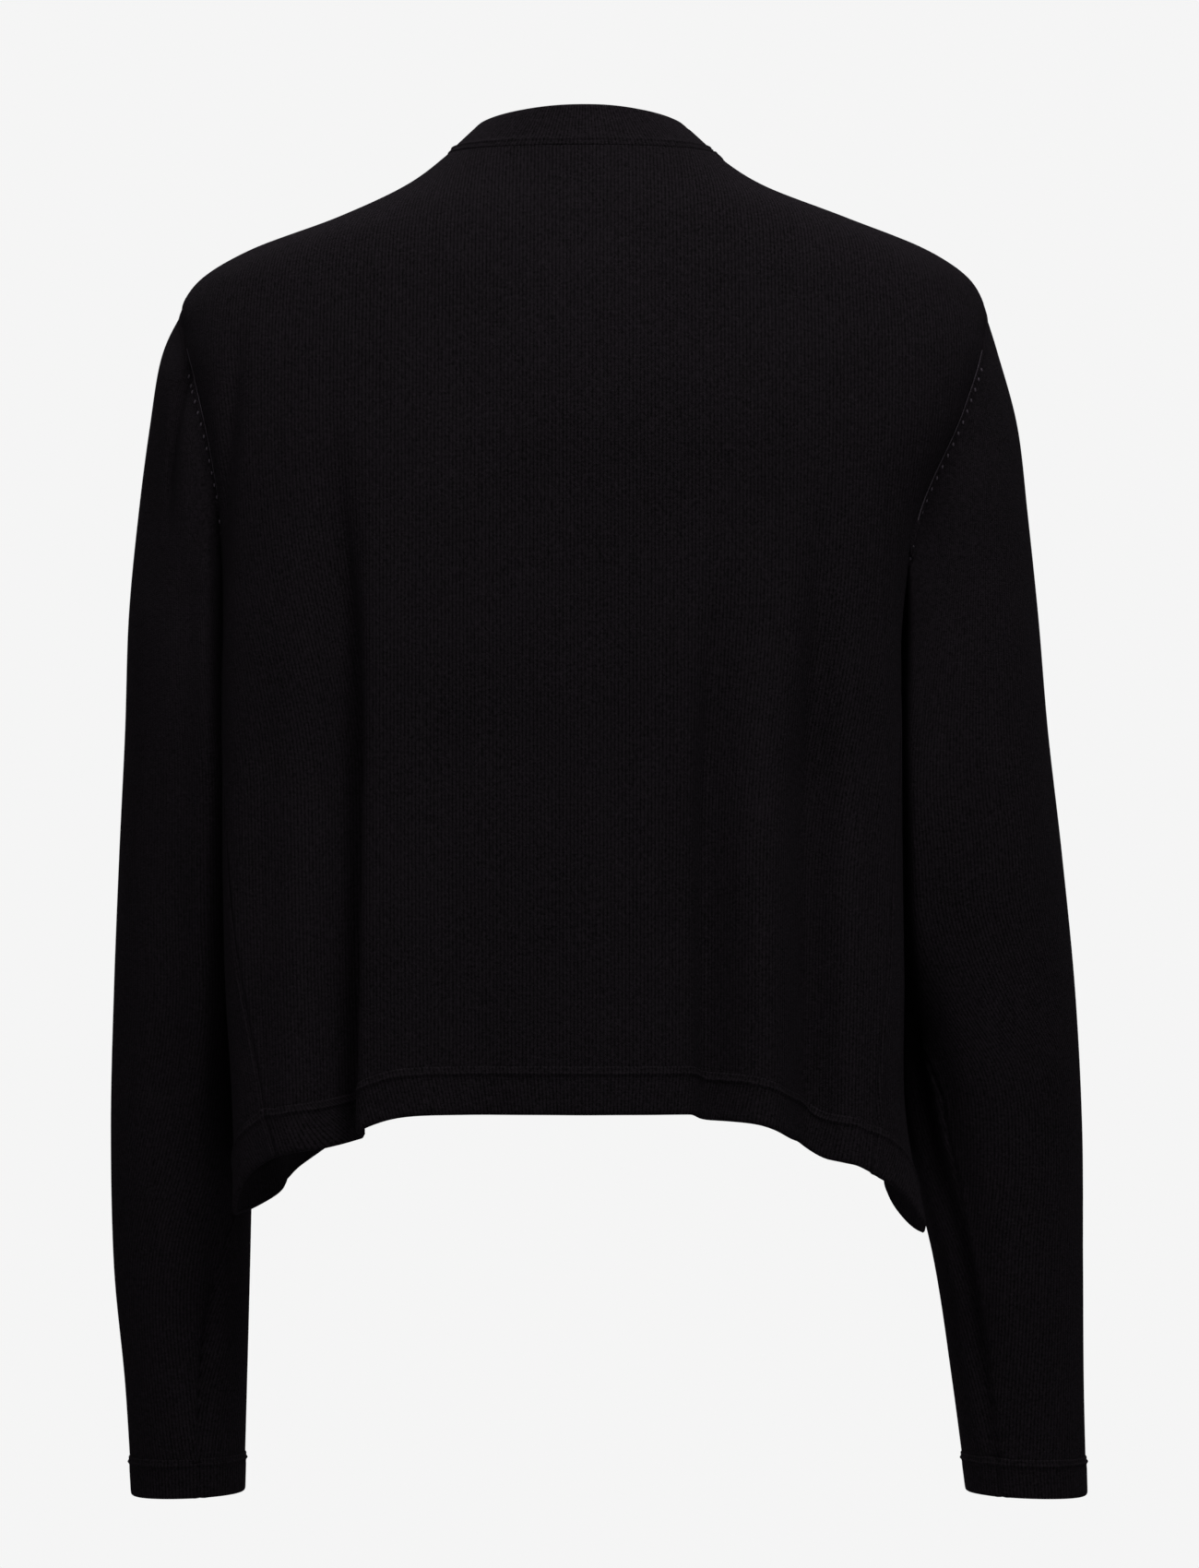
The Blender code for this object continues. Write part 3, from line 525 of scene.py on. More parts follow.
def add_allowances(points, normals, cloth_map, seams):
    """Carry each sewn edge on by its seam allowance, turned in or tucked into a band."""
    for edge, way in seams:
        axis = 0 if edge in ("bottom", "top") else 1
        grids = [np.moveaxis(grid, axis, 0) for grid in (points, normals, cloth_map)]
        first = edge in ("bottom", "start")
        outer, inner = (0, 1) if first else (-1, -2)
        onward, inward = SEAM_WAYS[way]
        step = grids[0][outer] - grids[0][inner]
        length = np.linalg.norm(step, axis=-1, keepdims=True)
        map_step = (grids[2][outer] - grids[2][inner]) / length
        extra = (grids[0][outer] + step / length * onward - grids[1][outer] * inward,
                 grids[1][outer], grids[2][outer] + map_step * (onward + inward))
        pairs = [(new[None], grid) if first else (grid, new[None]) for new, grid in zip(extra, grids)]
        points, normals, cloth_map = (np.moveaxis(np.concatenate(pair), 0, axis) for pair in pairs)
    return points, normals, cloth_map


def lay_cloth(name, node, slot, points, normals, cloth_map, seams, cut, sewn_tube=False):
    """Knit a flat piece at its cut size, lay it on the form and give it its thickness, its
    knit and its place in the frame."""
    points, normals, cloth_map = add_allowances(points, normals, cloth_map, seams)
    rows, columns = points.shape[:2]
    bpy.ops.object.select_all(action="DESELECT")
    bpy.ops.mesh.primitive_grid_add(x_subdivisions=columns - 1, y_subdivisions=rows - 1, size=1)
    piece = bpy.context.object
    piece.name = piece.data.name = name
    piece.scale = (cut[0], cut[1], 1.0)
    bpy.ops.object.transform_apply(location=True, rotation=True, scale=True)
    mesh = piece.data
    flat = np.zeros(len(mesh.vertices) * 3)
    mesh.vertices.foreach_get("co", flat)
    flat = flat.reshape(-1, 3)
    column_at = np.round((flat[:, 0] / cut[0] + 0.5) * (columns - 1)).astype(int)
    row_at = np.round((flat[:, 1] / cut[1] + 0.5) * (rows - 1)).astype(int)
    mesh.vertices.foreach_set("co", points[row_at, column_at].ravel())
    corners = np.zeros(len(mesh.loops), int)
    mesh.loops.foreach_get("vertex_index", corners)
    mesh.uv_layers[0].name = "cloth"
    mesh.uv_layers[0].data.foreach_set("uv", cloth_map[row_at, column_at][corners].ravel())
    mesh.update()
    faces_out = sum(face.normal.dot(normals[row_at[face.vertices[0]], column_at[face.vertices[0]]])
                    for face in mesh.polygons)
    if faces_out < 0:
        mesh.flip_normals()
    if sewn_tube:
        bpy.ops.object.mode_set(mode="EDIT")
        bpy.ops.mesh.select_all(action="SELECT")
        bpy.ops.mesh.remove_doubles(threshold=SEWN_WITHIN)
        bpy.ops.object.mode_set(mode="OBJECT")
    knit, thickness = KNITS[slot]
    wall = piece.modifiers.new("wall", "SOLIDIFY")
    wall.thickness = thickness
    wall.offset = -1.0
    bpy.ops.object.modifier_apply(modifier=wall.name)
    bpy.ops.object.shade_smooth()
    piece.data.materials.clear()
    piece.data.materials.append(knit)
    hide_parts(node)
    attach(piece, "root")


def knit_material(name, lean, clearness):
    """Fine gauge knit of matt black viscose yarn. Jersey shows flat columns of small V
    stitches, rib shows rounded ridges. Both have a faint haze of fibre ends. The colour darkens
    towards the valleys between stitches as painted shade, with random patches of uneven tone."""
    material, shader = matt_material(name, KNIT_COLOUR, KNIT_ROUGHNESS)
    tree = material.node_tree

    def worked(operation, *values, **settings):
        links = {"_" + str(place): value for place, value in enumerate(values)}
        settings["operation"] = operation
        return add_node(tree, "ShaderNodeMath", settings, **links).outputs[0]

    place = add_node(tree, "ShaderNodeUVMap", {"uv_map": "cloth"})
    parts = add_node(tree, "ShaderNodeSeparateXYZ", Vector=place.outputs["UV"])
    wale = worked("FRACT", worked("DIVIDE", parts.outputs["X"], WALE))
    middle = worked("ABSOLUTE", worked("SUBTRACT", wale, 0.5))
    # 0 in the middle of a wale, 1 in the valley between two
    valley = worked("MULTIPLY", middle, 2.0)
    steep = worked("POWER", valley, VALLEY_STEEPNESS)
    # Courses: the two legs of each V stitch rise towards the valleys
    shift = worked("MULTIPLY", valley, lean * COURSE)
    course = worked("ADD", parts.outputs["Y"], shift)
    course = worked("COSINE", worked("MULTIPLY", course, 2 * math.pi / COURSE))
    ridge = worked("SUBTRACT", worked("MULTIPLY", course, clearness), steep)
    # Fibre ends: a fine uneven haze over the stitches
    coords = add_node(tree, "ShaderNodeTexCoord")
    haze = add_node(tree, "ShaderNodeTexNoise", Vector=coords.outputs["Object"],
                    Scale=HAZE_SCALE, Detail=HAZE_DETAIL, Roughness=HAZE_ROUGHNESS)
    patches = add_node(tree, "ShaderNodeTexNoise", Vector=coords.outputs["Object"],
                       Scale=PATCH_SCALE, Detail=PATCH_DETAIL)
    haze = add_node(tree, "ShaderNodeMapRange", Value=haze.outputs["Fac"],
                    From_Min=HAZE_RANGE[0], From_Max=HAZE_RANGE[1])
    relief = worked("ADD", worked("MULTIPLY", haze.outputs[0], HAZE_RELIEF), ridge)
    bump = add_node(tree, "ShaderNodeBump", Strength=RELIEF_STRENGTH, Distance=RELIEF_HEIGHT,
                    Height=relief)
    # Painted shade: the colour darkens where the relief of stitches and fibre haze lies low, in the
    # valleys between stitches. Random patches of uneven tone are added to it
    tone = add_node(tree, "ShaderNodeMapRange", Value=relief,
                    From_Min=RELIEF_SHADE_RANGE[0], From_Max=RELIEF_SHADE_RANGE[1])
    uneven = add_node(tree, "ShaderNodeMapRange", Value=patches.outputs["Fac"],
                      To_Min=-PATCH_TONE, To_Max=PATCH_TONE)
    tone = worked("ADD", tone.outputs[0], uneven.outputs[0], use_clamp=True)
    colour = add_node(tree, "ShaderNodeMix", {"data_type": "RGBA"}, _0=tone,
                      _6=linear(PAINTED_VALLEY_SHADE), _7=linear(KNIT_COLOUR))
    tree.links.new(colour.outputs[2], shader.inputs["Base Color"])
    tree.links.new(bump.outputs[0], shader.inputs["Normal"])
    shader.inputs["Specular IOR Level"].default_value = 0.0
    shader.inputs["Sheen Weight"].default_value = SHEEN
    shader.inputs["Sheen Roughness"].default_value = SHEEN_ROUGHNESS
    shader.inputs["Sheen Tint"].default_value = linear(SHEEN_TINT)
    return material


def fold_around(fold_row, height):
    """Where round the form a back fold runs at each height."""
    fold = dict(zip(FOLD_COLUMNS, fold_row))
    run = np.clip((fold["top"] - height) / (fold["top"] - fold["bottom"]), 0, 1)
    reach = fold["top_reach"] + (fold["bottom_reach"] - fold["top_reach"]) * run
    size = section(height)
    edge = size["left_edge"] if fold["side"] < 0 else size["right_edge"]
    share = np.clip(reach / edge, 0, FARTHEST_FOLD) ** (BACK_POWER / 2)
    return np.arcsin(share) / (math.pi / 2) * EDGE_AT


def back_row(shares, limit, height):
    """Where round the form the back's columns stand on one row: they follow two folds."""
    left_at = min(fold_around(FOLDS[0], height), -DEEP_FOLD_SHARE * limit)
    right_at = min(fold_around(FOLDS[3], height), SECOND_FOLD_SHARE * limit)
    return np.interp(shares, (-1, DEEP_FOLD_SHARE, 0, SECOND_FOLD_SHARE, 1),
                     (-limit, -left_at, 0, right_at, limit))


# Each slot's knit and its thickness
KNITS = {"knit": (knit_material("fine_black_jersey_knit", *JERSEY_STITCH), JERSEY),
         "rib": (knit_material("fine_black_rib_knit", *RIB_STITCH), RIB)}

SIDE_SEAM_LENGTH = 0.27
ARMHOLE_LENGTH = 0.20
SHOULDER_LENGTH = 0.16
body_rows = in_rows((spacing(SIDE_SEAM_LENGTH, True, False), spacing(ARMHOLE_LENGTH, False, False),
                     spacing(SHOULDER_LENGTH, False, True)),
                    (SOLID_SEAM, SOLID_ARMHOLE, SOLID_SHOULDER))
back_shares = spacing(BACK_CUT[0]) * 2 - 1
back_middle = int(np.argmin(abs(back_shares)))
back_shares[back_middle] = 0.0
edge_around, edge_height = outer_boundary(ARMHOLE_BACK, body_rows)
back_around = np.array([back_row(back_shares, a, h) for a, h in zip(edge_around, edge_height)])
back_foot = hem_height(abs(back_around[0]))
bow = (back_foot - back_foot[0]) / (back_foot.max() - back_foot[0])
rise = (edge_height - edge_height[0]) / (edge_height[-1] - edge_height[0])
centre_height = (back_foot.max() + BAND_WIDTH) * (1 - rise)
back_height = edge_height[:, None] + (centre_height - edge_height)[:, None] * bow[None, :]
back_points = both_sides(back_around, back_height)
back_normals = grid_normals(back_points)
back_cloth = roll_seams(back_points, back_normals, ("start", "end"))
back_seams = (("bottom", "tucked"), ("top", "tucked"), ("start", "turned"), ("end", "turned"))
lay_cloth("back_panel", "back", "knit", back_cloth, back_normals,
          wale_map(back_points, back_middle), back_seams, BACK_CUT)


# Hem band of the back
# A doubled rib band, folded at the free edge and linked over the edge of the back panel, so
# that it stands a little proud of it with a fine ridge just inside its seam.
HEM_BAND_CUT = (0.365, 2 * BAND_WIDTH)
BAND_SEAMS = (("start", "butted"), ("end", "butted"))
# A row for each line along a band: distance from the free edge, and how far it stands proud
BAND_COLUMNS = ("across", "proud")
BAND_PROFILE = (
    (0.0000, -0.0009), (0.0003, -0.0003), (0.0008, 0.0002), (0.0016, 0.0005),
    (0.0030, 0.0006), (0.0060, 0.0006), (0.0095, 0.0006), (0.0130, 0.0006),
    (0.0160, 0.0006), (0.0182, 0.0005), (0.0191, 0.0006), (0.0197, 0.0010),
    (0.0203, 0.0013), (0.0209, 0.0010), (0.0215, 0.0006), (0.0223, 0.0006),
    (0.0230, 0.0006), (0.0235, 0.0004), (0.0238, 0.0001), (0.0240, -0.0003),
)


def band_map(points):
    """Distance along a band and across it, in metres, so that the ribs run across it."""
    along = running_length(points[len(points) // 2])
    across = column(BAND_PROFILE, BAND_COLUMNS, "across")
    return np.stack(np.broadcast_arrays(along[None, :], across[:, None]), axis=-1)


def lay_band(name, node, points, cut, middle=None):
    """Give a flat band the rounded section of its profile and lay it. A cuff gives its middle
    and is sewn up into a tube."""
    normals = grid_normals(points, middle)
    proud = column(BAND_PROFILE, BAND_COLUMNS, "proud")
    cloth = roll_seams(points + normals * proud[:, None, None], normals, ("start", "end"))
    if middle is not None:
        cloth[:, -1] = cloth[:, 0]
    lay_cloth(name, node, "rib", cloth, normals, band_map(points),
              BAND_SEAMS if middle is None else (), cut,
              sewn_tube=middle is not None)


band_shares = (column(BAND_PROFILE, BAND_COLUMNS, "across") / BAND_WIDTH)[:, None]
low_around = back_row(back_shares, *SIDE_SEAM[0])
low_height = hem_height(abs(low_around))
hem_points = both_sides(low_around + (back_around[0] - low_around) * band_shares,
                        low_height + (back_height[0] - low_height) * band_shares)
lay_band("back_hem_band", "hem_band_back", hem_points, HEM_BAND_CUT)


# Neckband
# The same doubled rib, standing up round the back of the neck from one shoulder to the other.
NECKBAND_CUT = (0.205, 0.046)
NECKBAND_LENGTH = 0.19
NECK_RISE = 0.0066

neck_around = (spacing(NECKBAND_LENGTH) * 2 - 1) * SHOULDER_AT
neck_top = NECK_TOP + NECK_RISE * (1 - ease(abs(neck_around) / SHOULDER_AT))
neck_height = neck_top * (1 - band_shares)
neck_points = both_sides(np.repeat(neck_around[None, :], len(band_shares), axis=0), neck_height)
lay_band("neckband_rib", "neckband", neck_points, NECKBAND_CUT)


# Front bands
# One band on each front, from the side neck down the edge, round the curved corner and back
# to the side seam, where it meets the back's band.
FRONT_BAND_CUT = (0.740, 2 * BAND_WIDTH)
FRONT_BAND_LENGTH = 0.69
HANDS = (("left", -1), ("right", 1))
FINE_BAND = 240
# Steps of a band's seam that run straight from the side neck, where its edge turns sharply
NECK_STEPS = 15
INSET_STEPS = 6
LONGEST_TURN = 0.05
LONGEST_RISE = 0.02
# Rounds of averaging that even out the seam where the folds crowd it
SEAM_EVENINGS = 24


def inset(side, around, height, distance):
    """Places on the form at a distance from a line of places, measured across the line."""
    line = body_point(side, around, height)
    course = np.gradient(line, axis=0)
    normal = body_frame(side, around, height)[2]
    across = -side * np.cross(normal, course)
    across = across / np.linalg.norm(across, axis=-1, keepdims=True)
    target = line + across * distance
    for _ in range(INSET_STEPS):
        along, up, _normal = body_frame(side, around, height)
        miss = target - body_point(side, around, height)
        matrix = np.stack([along, up], axis=-1)
        step = np.array([np.linalg.lstsq(m, e, rcond=None)[0] for m, e in zip(matrix, miss)])
        around = around + np.clip(step[:, 0], -LONGEST_TURN, LONGEST_TURN)
        height = height + np.clip(step[:, 1], -LONGEST_RISE, LONGEST_RISE)
    return around, height


def band_lines(side, seam_shares):
    """Free edge and seam line of a front band, at shares of the length of its seam."""
    (around, height), _back = free_edge()
    around, height = along_line(side, (around, height), np.linspace(0, 1, FINE_BAND + 1))
    in_around, in_height = inset(side, around, height, BAND_WIDTH)
    for _ in range(SEAM_EVENINGS):
        for run in (in_around, in_height):
            run[1:-1] = (run[:-2] + 2 * run[1:-1] + run[2:]) / 4
    neck = np.linspace(0, 1, NECK_STEPS + 1)
    in_around[:NECK_STEPS + 1] = SHOULDER_AT + (in_around[NECK_STEPS] - SHOULDER_AT) * neck
    in_height[:NECK_STEPS + 1] = in_height[NECK_STEPS] * neck
    in_around[-1], in_height[-1] = SIDE_SEAM[1]
    order = np.arange(len(around))
    run = running_length(body_point(side, in_around, in_height))
    places = np.interp(np.asarray(seam_shares) * run[-1], run, order)
    pick = [np.interp(places, order, line) for line in (around, height, in_around, in_height)]
    return (pick[0], pick[1]), (pick[2], pick[3])


for word, side in HANDS:
    free_line, seam_line = band_lines(side, spacing(FRONT_BAND_LENGTH))
    band_around = free_line[0] + (seam_line[0] - free_line[0]) * band_shares
    band_height = free_line[1] + (seam_line[1] - free_line[1]) * band_shares
    band_points = body_point(side, band_around, band_height)
    lay_band("front_rib_band_" + word, "front_band_" + word, band_points, FRONT_BAND_CUT)


# Front panels
# Two narrow jersey fronts, knitted to shape like the back, that leave the chest open.
FRONT_CUT = (0.185, 0.505)
FRONT_WIDTH = 0.15
# How far down the band's seam the armhole's foot and the panel's lower corner stand
CHEST_SHARE = 0.46
CORNER_SHARE = 0.63
CORNER_CELLS = 14
CORNER_EVENINGS = 160
FRONT_SEAMS = (("bottom", "linked"), ("end", "linked"), ("top", "turned"), ("start", "turned"))
ARMHOLE_FRONT = ((0.490, -0.2250), (0.560, -0.2240), (0.625, -0.2080), (0.655, -0.1750),
                 (0.655, -0.1350), (0.628, -0.1000), (0.580, -0.0790), (0.525, -0.0730))


def joined_sheet(left, right, bottom, top, across, up):
    """Places inside four edges that meet at their corners, blended from all four."""
    across = across[None, :, None]
    up = up[:, None, None]
    sheet = (1 - across) * left[:, None] + across * right[:, None]
    sheet = sheet + (1 - up) * bottom[None] + up * top[None]
    sheet = sheet - (1 - across) * (1 - up) * bottom[0] - across * (1 - up) * bottom[-1]
    return sheet - (1 - across) * up * top[0] - across * up * top[-1]


front_rows = in_rows((spacing(SIDE_SEAM_LENGTH, False, False),
                      spacing(ARMHOLE_LENGTH, False, True)), (SOLID_SEAM, SOLID_ARMHOLE))
front_tip = SOLID_SEAM + SOLID_ARMHOLE
front_across = spacing(FRONT_WIDTH, True, False)
# Shares of the band's seam, from the neck, that the panel's rows and its lower edge reach
row_shares = np.interp(front_rows, (0, SOLID_SEAM, front_tip), (CORNER_SHARE, CHEST_SHARE, 0))
low_shares = 1 + (CORNER_SHARE - 1) * front_across
shoulder_line = (np.full(FINE_STEPS, SHOULDER_AT),
                 np.linspace(ARMHOLE_FRONT[-1][1], 0.0, FINE_STEPS))
for word, side in HANDS:
    left_edge = np.stack(outer_boundary(ARMHOLE_FRONT, front_rows), axis=-1)
    right_edge = np.stack(band_lines(side, row_shares)[1], axis=-1)
    bottom_edge = np.stack(band_lines(side, low_shares)[1], axis=-1)
    top_edge = np.stack(along_line(side, shoulder_line, front_across), axis=-1)
    places = joined_sheet(left_edge, right_edge, bottom_edge, top_edge, front_across,
                          front_rows / front_tip)
    # The panel's lower corner lies almost flat along the band, so its mesh is evened out there
    row_count, column_count = places.shape[:2]
    from_corner = np.hypot(np.arange(row_count)[:, None] / CORNER_CELLS,
                           (column_count - 1 - np.arange(column_count))[None, :] / CORNER_CELLS)
    loose = (1 - ease(from_corner - 1))[1:-1, 1:-1, None]
    for _ in range(CORNER_EVENINGS):
        mean = (places[:-2, 1:-1] + places[2:, 1:-1] + places[1:-1, :-2] + places[1:-1, 2:]) / 4
        places[1:-1, 1:-1] += (mean - places[1:-1, 1:-1]) * loose
    front_points = body_point(side, places[..., 0], places[..., 1])
    front_normals = grid_normals(front_points)
    front_cloth = roll_seams(front_points, front_normals, ("top", "start"))
    lay_cloth("front_panel_" + word, "front_" + word, "knit", front_cloth, front_normals,
              wale_map(front_points, len(front_across) // 2), FRONT_SEAMS, FRONT_CUT)


# Sleeves
# Long set-in sleeves, knitted to shape and sewn up under the arm. The seam wanders to the
# back of the forearm as the sleeve twists, and the cloth puckers a little beside it.
SLEEVE_CUT = (0.340, 0.590)
SLEEVE_GIRTH = 0.30
SLEEVE_LENGTH = 0.57
SLEEVE_SEAMS = (("bottom", "turned"), ("top", "tucked"))
# The sleeve's head follows the armhole and lets go of it over these rows of its table
ARMHOLE_REACH = 4.5
ARMHOLE_FADE = 1.6
CREASE_EVENNESS = 0.8
SOLID_SLEEVE_ROWS = 24
CUFF_DEPTH = 0.021
PUCKER_PITCH = 0.0095
PUCKER_DEPTH = 0.0005
PUCKER_REACH = 0.007
# The seam allowance lies towards the sleeve and lifts its edge along the armhole
HEAD_ROLL = 0.0001
HEAD_WELT = 0.0010

SLEEVE_COLUMNS = ("outer_height", "outer_left", "outer_right",
                  "inner_height", "inner_left", "inner_right", "half_depth", "forward")
SLEEVE_SECTIONS = (
    (-0.073, 0.201, 0.199, -0.225, 0.166, 0.154, 0.058, -0.002),
    (-0.098, 0.2125, 0.207, -0.230, 0.166, 0.1535, 0.058, -0.002),
    (-0.135, 0.219, 0.217, -0.240, 0.166, 0.1545, 0.057, -0.002),
    (-0.180, 0.225, 0.2225, -0.258, 0.165, 0.1550, 0.056, -0.002),
    (-0.232, 0.230, 0.228, -0.285, 0.164, 0.1550, 0.055, -0.002),
    (-0.290, 0.232, 0.233, -0.320, 0.162, 0.1555, 0.054, -0.001),
    (-0.350, 0.235, 0.240, -0.365, 0.163, 0.1565, 0.052, 0.001),
    (-0.420, 0.238, 0.247, -0.425, 0.165, 0.1570, 0.048, 0.004),
    (-0.490, 0.240, 0.251, -0.490, 0.168, 0.1610, 0.044, 0.010),
    (-0.560, 0.239, 0.252, -0.558, 0.170, 0.1765, 0.040, 0.018),
    (-0.620, 0.234, 0.253, -0.618, 0.172, 0.186, 0.036, 0.027),
    (-0.678, 0.231, 0.255, -0.676, 0.174, 0.194, 0.033, 0.036),
)
# How far the underarm seam has turned towards the back at each height
TWIST_COLUMNS = ("height", "left_turn", "right_turn")
SLEEVE_TWIST = (
    (-0.700, 73.0, 62.0),
    (-0.630, 73.0, 61.0),
    (-0.600, 68.0, 60.0),
    (-0.550, 50.0, 56.0),
    (-0.500, 22.0, 55.0),
    (-0.460, 6.0, 46.0),
    (-0.430, 0.0, 22.0),
    (-0.390, 0.0, 3.0),
    (-0.350, 0.0, 0.0),
    (-0.200, 0.0, 0.0),
)
# Soft creases: where round the tube (0 outer, 90 front, 180 inner, 270 back). The first six
# are the solids' own.
CREASE_COLUMNS = ("side", "top", "bottom", "top_turn", "bottom_turn", "depth", "width")
SLEEVE_CREASES = (
    (-1, -0.110, -0.230, 318.0, 312.0, 0.0030, 16.0),
    (-1, -0.520, -0.640, 236.0, 262.0, 0.0035, 18.0),
    (-1, -0.330, -0.450, 118.0, 96.0, 0.0040, 20.0),
    (1, -0.380, -0.640, 222.0, 246.0, 0.0040, 17.0),
    (1, -0.300, -0.420, 80.0, 104.0, 0.0040, 20.0),
    (1, -0.500, -0.600, 60.0, 84.0, 0.0030, 18.0),
    (-1, -0.080, -0.195, 306.0, 298.0, 0.0065, 6.0),
    (-1, -0.110, -0.210, 285.0, 278.0, -0.0020, 9.0),
    (-1, -0.200, -0.620, 246.0, 240.0, -0.0060, 20.0),
    (-1, -0.240, -0.420, 300.0, 290.0, 0.0012, 14.0),
    (-1, -0.540, -0.660, 236.0, 254.0, 0.0040, 8.0),
    (-1, -0.300, -0.430, 150.0, 120.0, 0.0025, 12.0),
    (-1, -0.430, -0.560, 60.0, 88.0, 0.0022, 12.0),
    (1, -0.150, -0.470, 232.0, 228.0, -0.0060, 24.0),
    (1, -0.400, -0.570, 200.0, 230.0, 0.0075, 9.0),
    (1, -0.440, -0.600, 216.0, 244.0, -0.0030, 9.0),
    (1, -0.500, -0.665, 226.0, 236.0, 0.0065, 8.0),
    (1, -0.180, -0.400, 296.0, 280.0, 0.0012, 16.0),
    (1, -0.330, -0.460, 120.0, 150.0, 0.0025, 12.0),
)
# Where the arm lies against the body the sleeve is pressed flat and comes further back
FLAT_COLUMNS = ("side", "top", "bottom", "turn", "depth", "width")
SLEEVE_FLATS = (
    (1, -0.165, -0.455, 214.0, 0.0200, 20.0),
    (-1, -0.150, -0.520, 254.0, 0.0070, 14.0),
)
FLAT_FADE = 0.070


def armhole_loop(side, turn):
    """Points of the armhole at turns round the sleeve."""
    half = np.mod(turn, 360.0) / 180.0
    front = along_line(1, table_line(ARMHOLE_FRONT), np.clip(1 - half, 0, 1).ravel())
    back_half = along_line(1, table_line(ARMHOLE_BACK), np.clip(half - 1, 0, 1).ravel())
    in_front = (half <= 1).ravel()
    around = np.where(in_front, front[0], back_half[0])
    height = np.where(in_front, front[1], back_half[1])
    return body_point(side, around, height).reshape(np.shape(turn) + (3,))


def sleeve_surface(side, rows_at, shares):
    """Points of a sleeve at places down its table, and at shares of its girth from the seam."""
    order = np.arange(len(SLEEVE_SECTIONS))
    size = {name: through(order, column(SLEEVE_SECTIONS, SLEEVE_COLUMNS, name), rows_at)[:, None]
            for name in SLEEVE_COLUMNS}
    start = dict(zip(SLEEVE_COLUMNS, SLEEVE_SECTIONS[0]))
    hand = "left" if side < 0 else "right"
    turned = column(SLEEVE_TWIST, TWIST_COLUMNS, hand + "_turn")
    heights = column(SLEEVE_TWIST, TWIST_COLUMNS, "height")
    turn = 180.0 + through(heights, turned, size["inner_height"]) + 360.0 * shares[None, :]

    def ellipse(row, at_turn):
        cosine, sine = np.cos(np.radians(at_turn)), np.sin(np.radians(at_turn))
        outer, inner = row["outer_" + hand], row["inner_" + hand]
        x = side * ((outer + inner) / 2 + (outer - inner) / 2 * cosine)
        z = ((row["outer_height"] + row["inner_height"]) / 2
             + (row["outer_height"] - row["inner_height"]) / 2 * cosine)
        y = row["forward"] + row["half_depth"] * sine
        return np.stack(np.broadcast_arrays(x, y, z), axis=-1)

    rings = ellipse(size, turn)
    keep = (1 - np.clip(rows_at / ARMHOLE_REACH, 0, 1))[:, None, None] ** ARMHOLE_FADE
    rings = rings + (armhole_loop(side, turn) - ellipse(start, turn)) * keep
    middle = rings[:, :-1].mean(axis=1, keepdims=True)
    out = rings - middle
    out = out / np.linalg.norm(out, axis=-1, keepdims=True)
    for row in SLEEVE_CREASES:
        crease = dict(zip(CREASE_COLUMNS, row))
        if crease["side"] != side:
            continue
        run = (crease["top"] - rings[..., 2]) / (crease["top"] - crease["bottom"])
        where = crease["top_turn"] + (crease["bottom_turn"] - crease["top_turn"]) * run
        offset = (np.mod(turn - where + 180, 360) - 180) / crease["width"]
        strength = np.sin(math.pi * np.clip(run, 0, 1)) ** CREASE_EVENNESS
        rings = rings - out * (crease["depth"] * np.exp(-offset ** 2) * strength)[..., None]
    for row in SLEEVE_FLATS:
        flat = dict(zip(FLAT_COLUMNS, row))
        if flat["side"] != side:
            continue
        from_top, from_foot = flat["top"] - rings[..., 2], rings[..., 2] - flat["bottom"]
        strength = ease(from_top / FLAT_FADE) * ease(from_foot / FLAT_FADE)
        offset = (np.mod(turn - flat["turn"] + 180, 360) - 180) / flat["width"]
        rings[..., 1] -= flat["depth"] * np.exp(-offset ** 2) * strength
    return rings


def pucker(points, normals):
    """Small ripples of the cloth on both sides of the underarm seam."""
    run = edge_distance(points, "bottom")
    for edge in ("start", "end"):
        near = np.exp(-(edge_distance(points, edge) / PUCKER_REACH) ** 2)
        wave = np.sin(2 * math.pi * run / PUCKER_PITCH) * near
        points = points + normals * (PUCKER_DEPTH * wave)[..., None]
    return points


last_place = len(SLEEVE_SECTIONS) - 1
girth_shares = spacing(SLEEVE_GIRTH)
wrists = {}
sleeve_cloths = {}
for word, side in HANDS:
    whole = sleeve_surface(side, np.linspace(0, last_place, SOLID_SLEEVE_ROWS + 1), girth_shares)
    wrist, above = whole[-1], whole[-2]
    length = np.linalg.norm(wrist - above, axis=-1, keepdims=True)
    cuff_seam = wrist + (above - wrist) / length * CUFF_DEPTH
    lowest = last_place * (1 - 1 / SOLID_SLEEVE_ROWS)
    rows_at = spacing(SLEEVE_LENGTH) * lowest
    sleeve_points = np.concatenate([sleeve_surface(side, rows_at, girth_shares)[:-1],
                                    (whole[-2:-1] + cuff_seam[None]) / 2, cuff_seam[None]])
    sleeve_middle = sleeve_points.mean(axis=1, keepdims=True)
    sleeve_normals = grid_normals(sleeve_points, sleeve_middle)
    sleeve_cloth = pucker(sleeve_points, sleeve_normals)
    sleeve_cloth = roll_seams(sleeve_cloth, sleeve_normals, ("start", "end"))
    sleeve_cloth = roll_seams(sleeve_cloth, sleeve_normals, ("bottom",), HEAD_ROLL, HEAD_WELT)
    sleeve_cloth[:, -1] = sleeve_cloth[:, 0]
    lay_cloth("sleeve_jersey_" + word, "sleeve_" + word, "knit", sleeve_cloth, sleeve_normals,
              wale_map(sleeve_points, len(girth_shares) // 2), SLEEVE_SEAMS, SLEEVE_CUT,
              sewn_tube=True)
    wrists[side] = (wrist, cuff_seam)
    sleeve_cloths[side] = (sleeve_cloth, sleeve_normals)
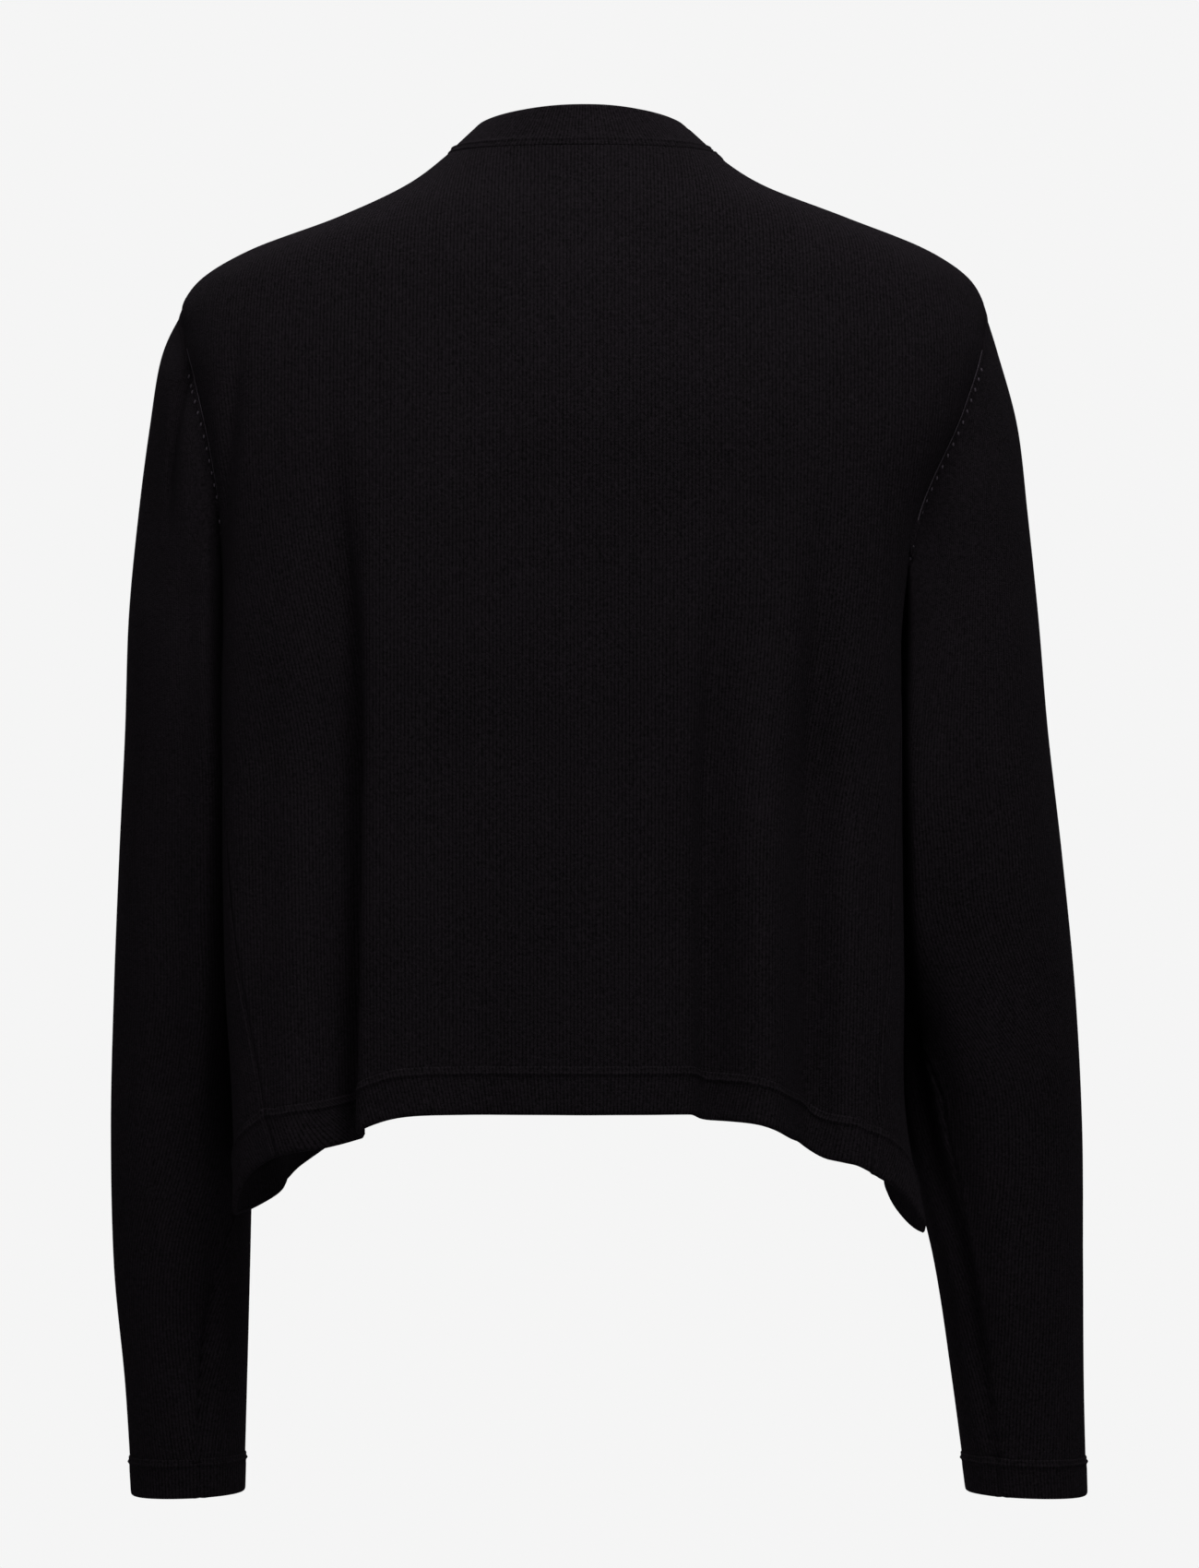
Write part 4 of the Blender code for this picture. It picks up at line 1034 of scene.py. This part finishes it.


# Fashioning marks
# Each narrowing of the knit along the back of an armhole leaves a small doubled stitch that
# catches the light. A fine chain of stitches links the sleeve's edge and shows as a light line.
# Both are painted a lighter grey than the black yarn: a painted highlight.
STITCH_COLUMNS = ("name", "in_from_edge", "top", "foot", "pitch", "width", "length", "height")
STITCHES = (
    ("fashioning_marks", 0.0046, -0.108, -0.208, 0.0062, 0.0011, 0.0023, 0.0015),
    ("armhole_linking", 0.0008, -0.098, -0.186, 0.0011, 0.0005, 0.0014, 0.0007),
)
# Lighter than the black knit: a painted highlight on the raised stitches
STITCH_PAINTED_HIGHLIGHT = "#312D32"
STITCH_ROUGHNESS = 0.8
STITCH_SEGMENTS = 10
STITCH_RINGS = 6
# Share of the sleeve's girth, from the underarm seam, at which the stitches are placed
STITCH_TURN = 0.75

stitch_highlight_paint, stitch_shader = matt_material("doubled_stitch_painted_highlight", STITCH_PAINTED_HIGHLIGHT, STITCH_ROUGHNESS)
stitch_shader.inputs["Specular IOR Level"].default_value = 0.0


def upright(out, along):
    """Turns that set a piece's Z along the cloth's outward normal and its Y along the wales."""
    across = along.cross(out).normalized()
    up = out.normalized()
    return Matrix((across, up.cross(across), up)).transposed().to_euler()


def lay_stitches(size, hand, cloth, outward, along_edge):
    """A row of small raised stitches beside the armhole, on the back of the sleeve."""
    inward = edge_distance(cloth, "bottom")[:, int(cloth.shape[1] * STITCH_TURN)]
    row = max(1, int(np.argmin(abs(inward - size["in_from_edge"]))))
    line = cloth[row]
    kept = (line[:, 2] > size["foot"]) & (line[:, 2] < size["top"]) & (line[:, 1] < 0)
    places = line[kept]
    outs = outward[row][kept]
    ways = np.gradient(places, axis=0) if along_edge else (cloth[row + 1] - cloth[row - 1])[kept]
    run = running_length(places)
    stitches = []
    for distance in np.arange(size["pitch"] / 2, run[-1], size["pitch"]):
        here, out, way = (np.array([np.interp(distance, run, grid[:, axis]) for axis in range(3)])
                          for grid in (places, outs, ways))
        bpy.ops.object.select_all(action="DESELECT")
        bpy.ops.mesh.primitive_uv_sphere_add(segments=STITCH_SEGMENTS, ring_count=STITCH_RINGS,
                                             radius=0.5, location=here)
        stitch = bpy.context.object
        stitch.scale = (size["width"], size["length"], size["height"])
        stitch.rotation_euler = upright(Vector(out), Vector(way))
        stitches.append(stitch)
    bpy.ops.object.select_all(action="DESELECT")
    for stitch in stitches:
        stitch.select_set(True)
    bpy.context.view_layer.objects.active = stitches[0]
    bpy.ops.object.join()
    bpy.ops.object.transform_apply(location=True, rotation=True, scale=True)
    bpy.ops.object.shade_smooth()
    joined = bpy.context.object
    joined.name = joined.data.name = size["name"] + "_" + hand
    joined.data.materials.append(stitch_highlight_paint)
    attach(joined, "root")


for word, side in HANDS:
    for stitch_row in STITCHES:
        stitch_size = dict(zip(STITCH_COLUMNS, stitch_row))
        lay_stitches(stitch_size, word, *sleeve_cloths[side],
                     along_edge=stitch_size["name"] == "armhole_linking")


# Cuffs
# A doubled rib cuff linked to each sleeve, with its own short seam in line with the sleeve's.
CUFF_CUT = (0.225, 2 * CUFF_DEPTH)

for word, side in HANDS:
    wrist, cuff_seam = wrists[side]
    cuff_points = wrist + (cuff_seam - wrist) * band_shares[..., None]
    lay_band("rib_cuff_" + word, "cuff_" + word, cuff_points, CUFF_CUT,
             cuff_points.mean(axis=1, keepdims=True))
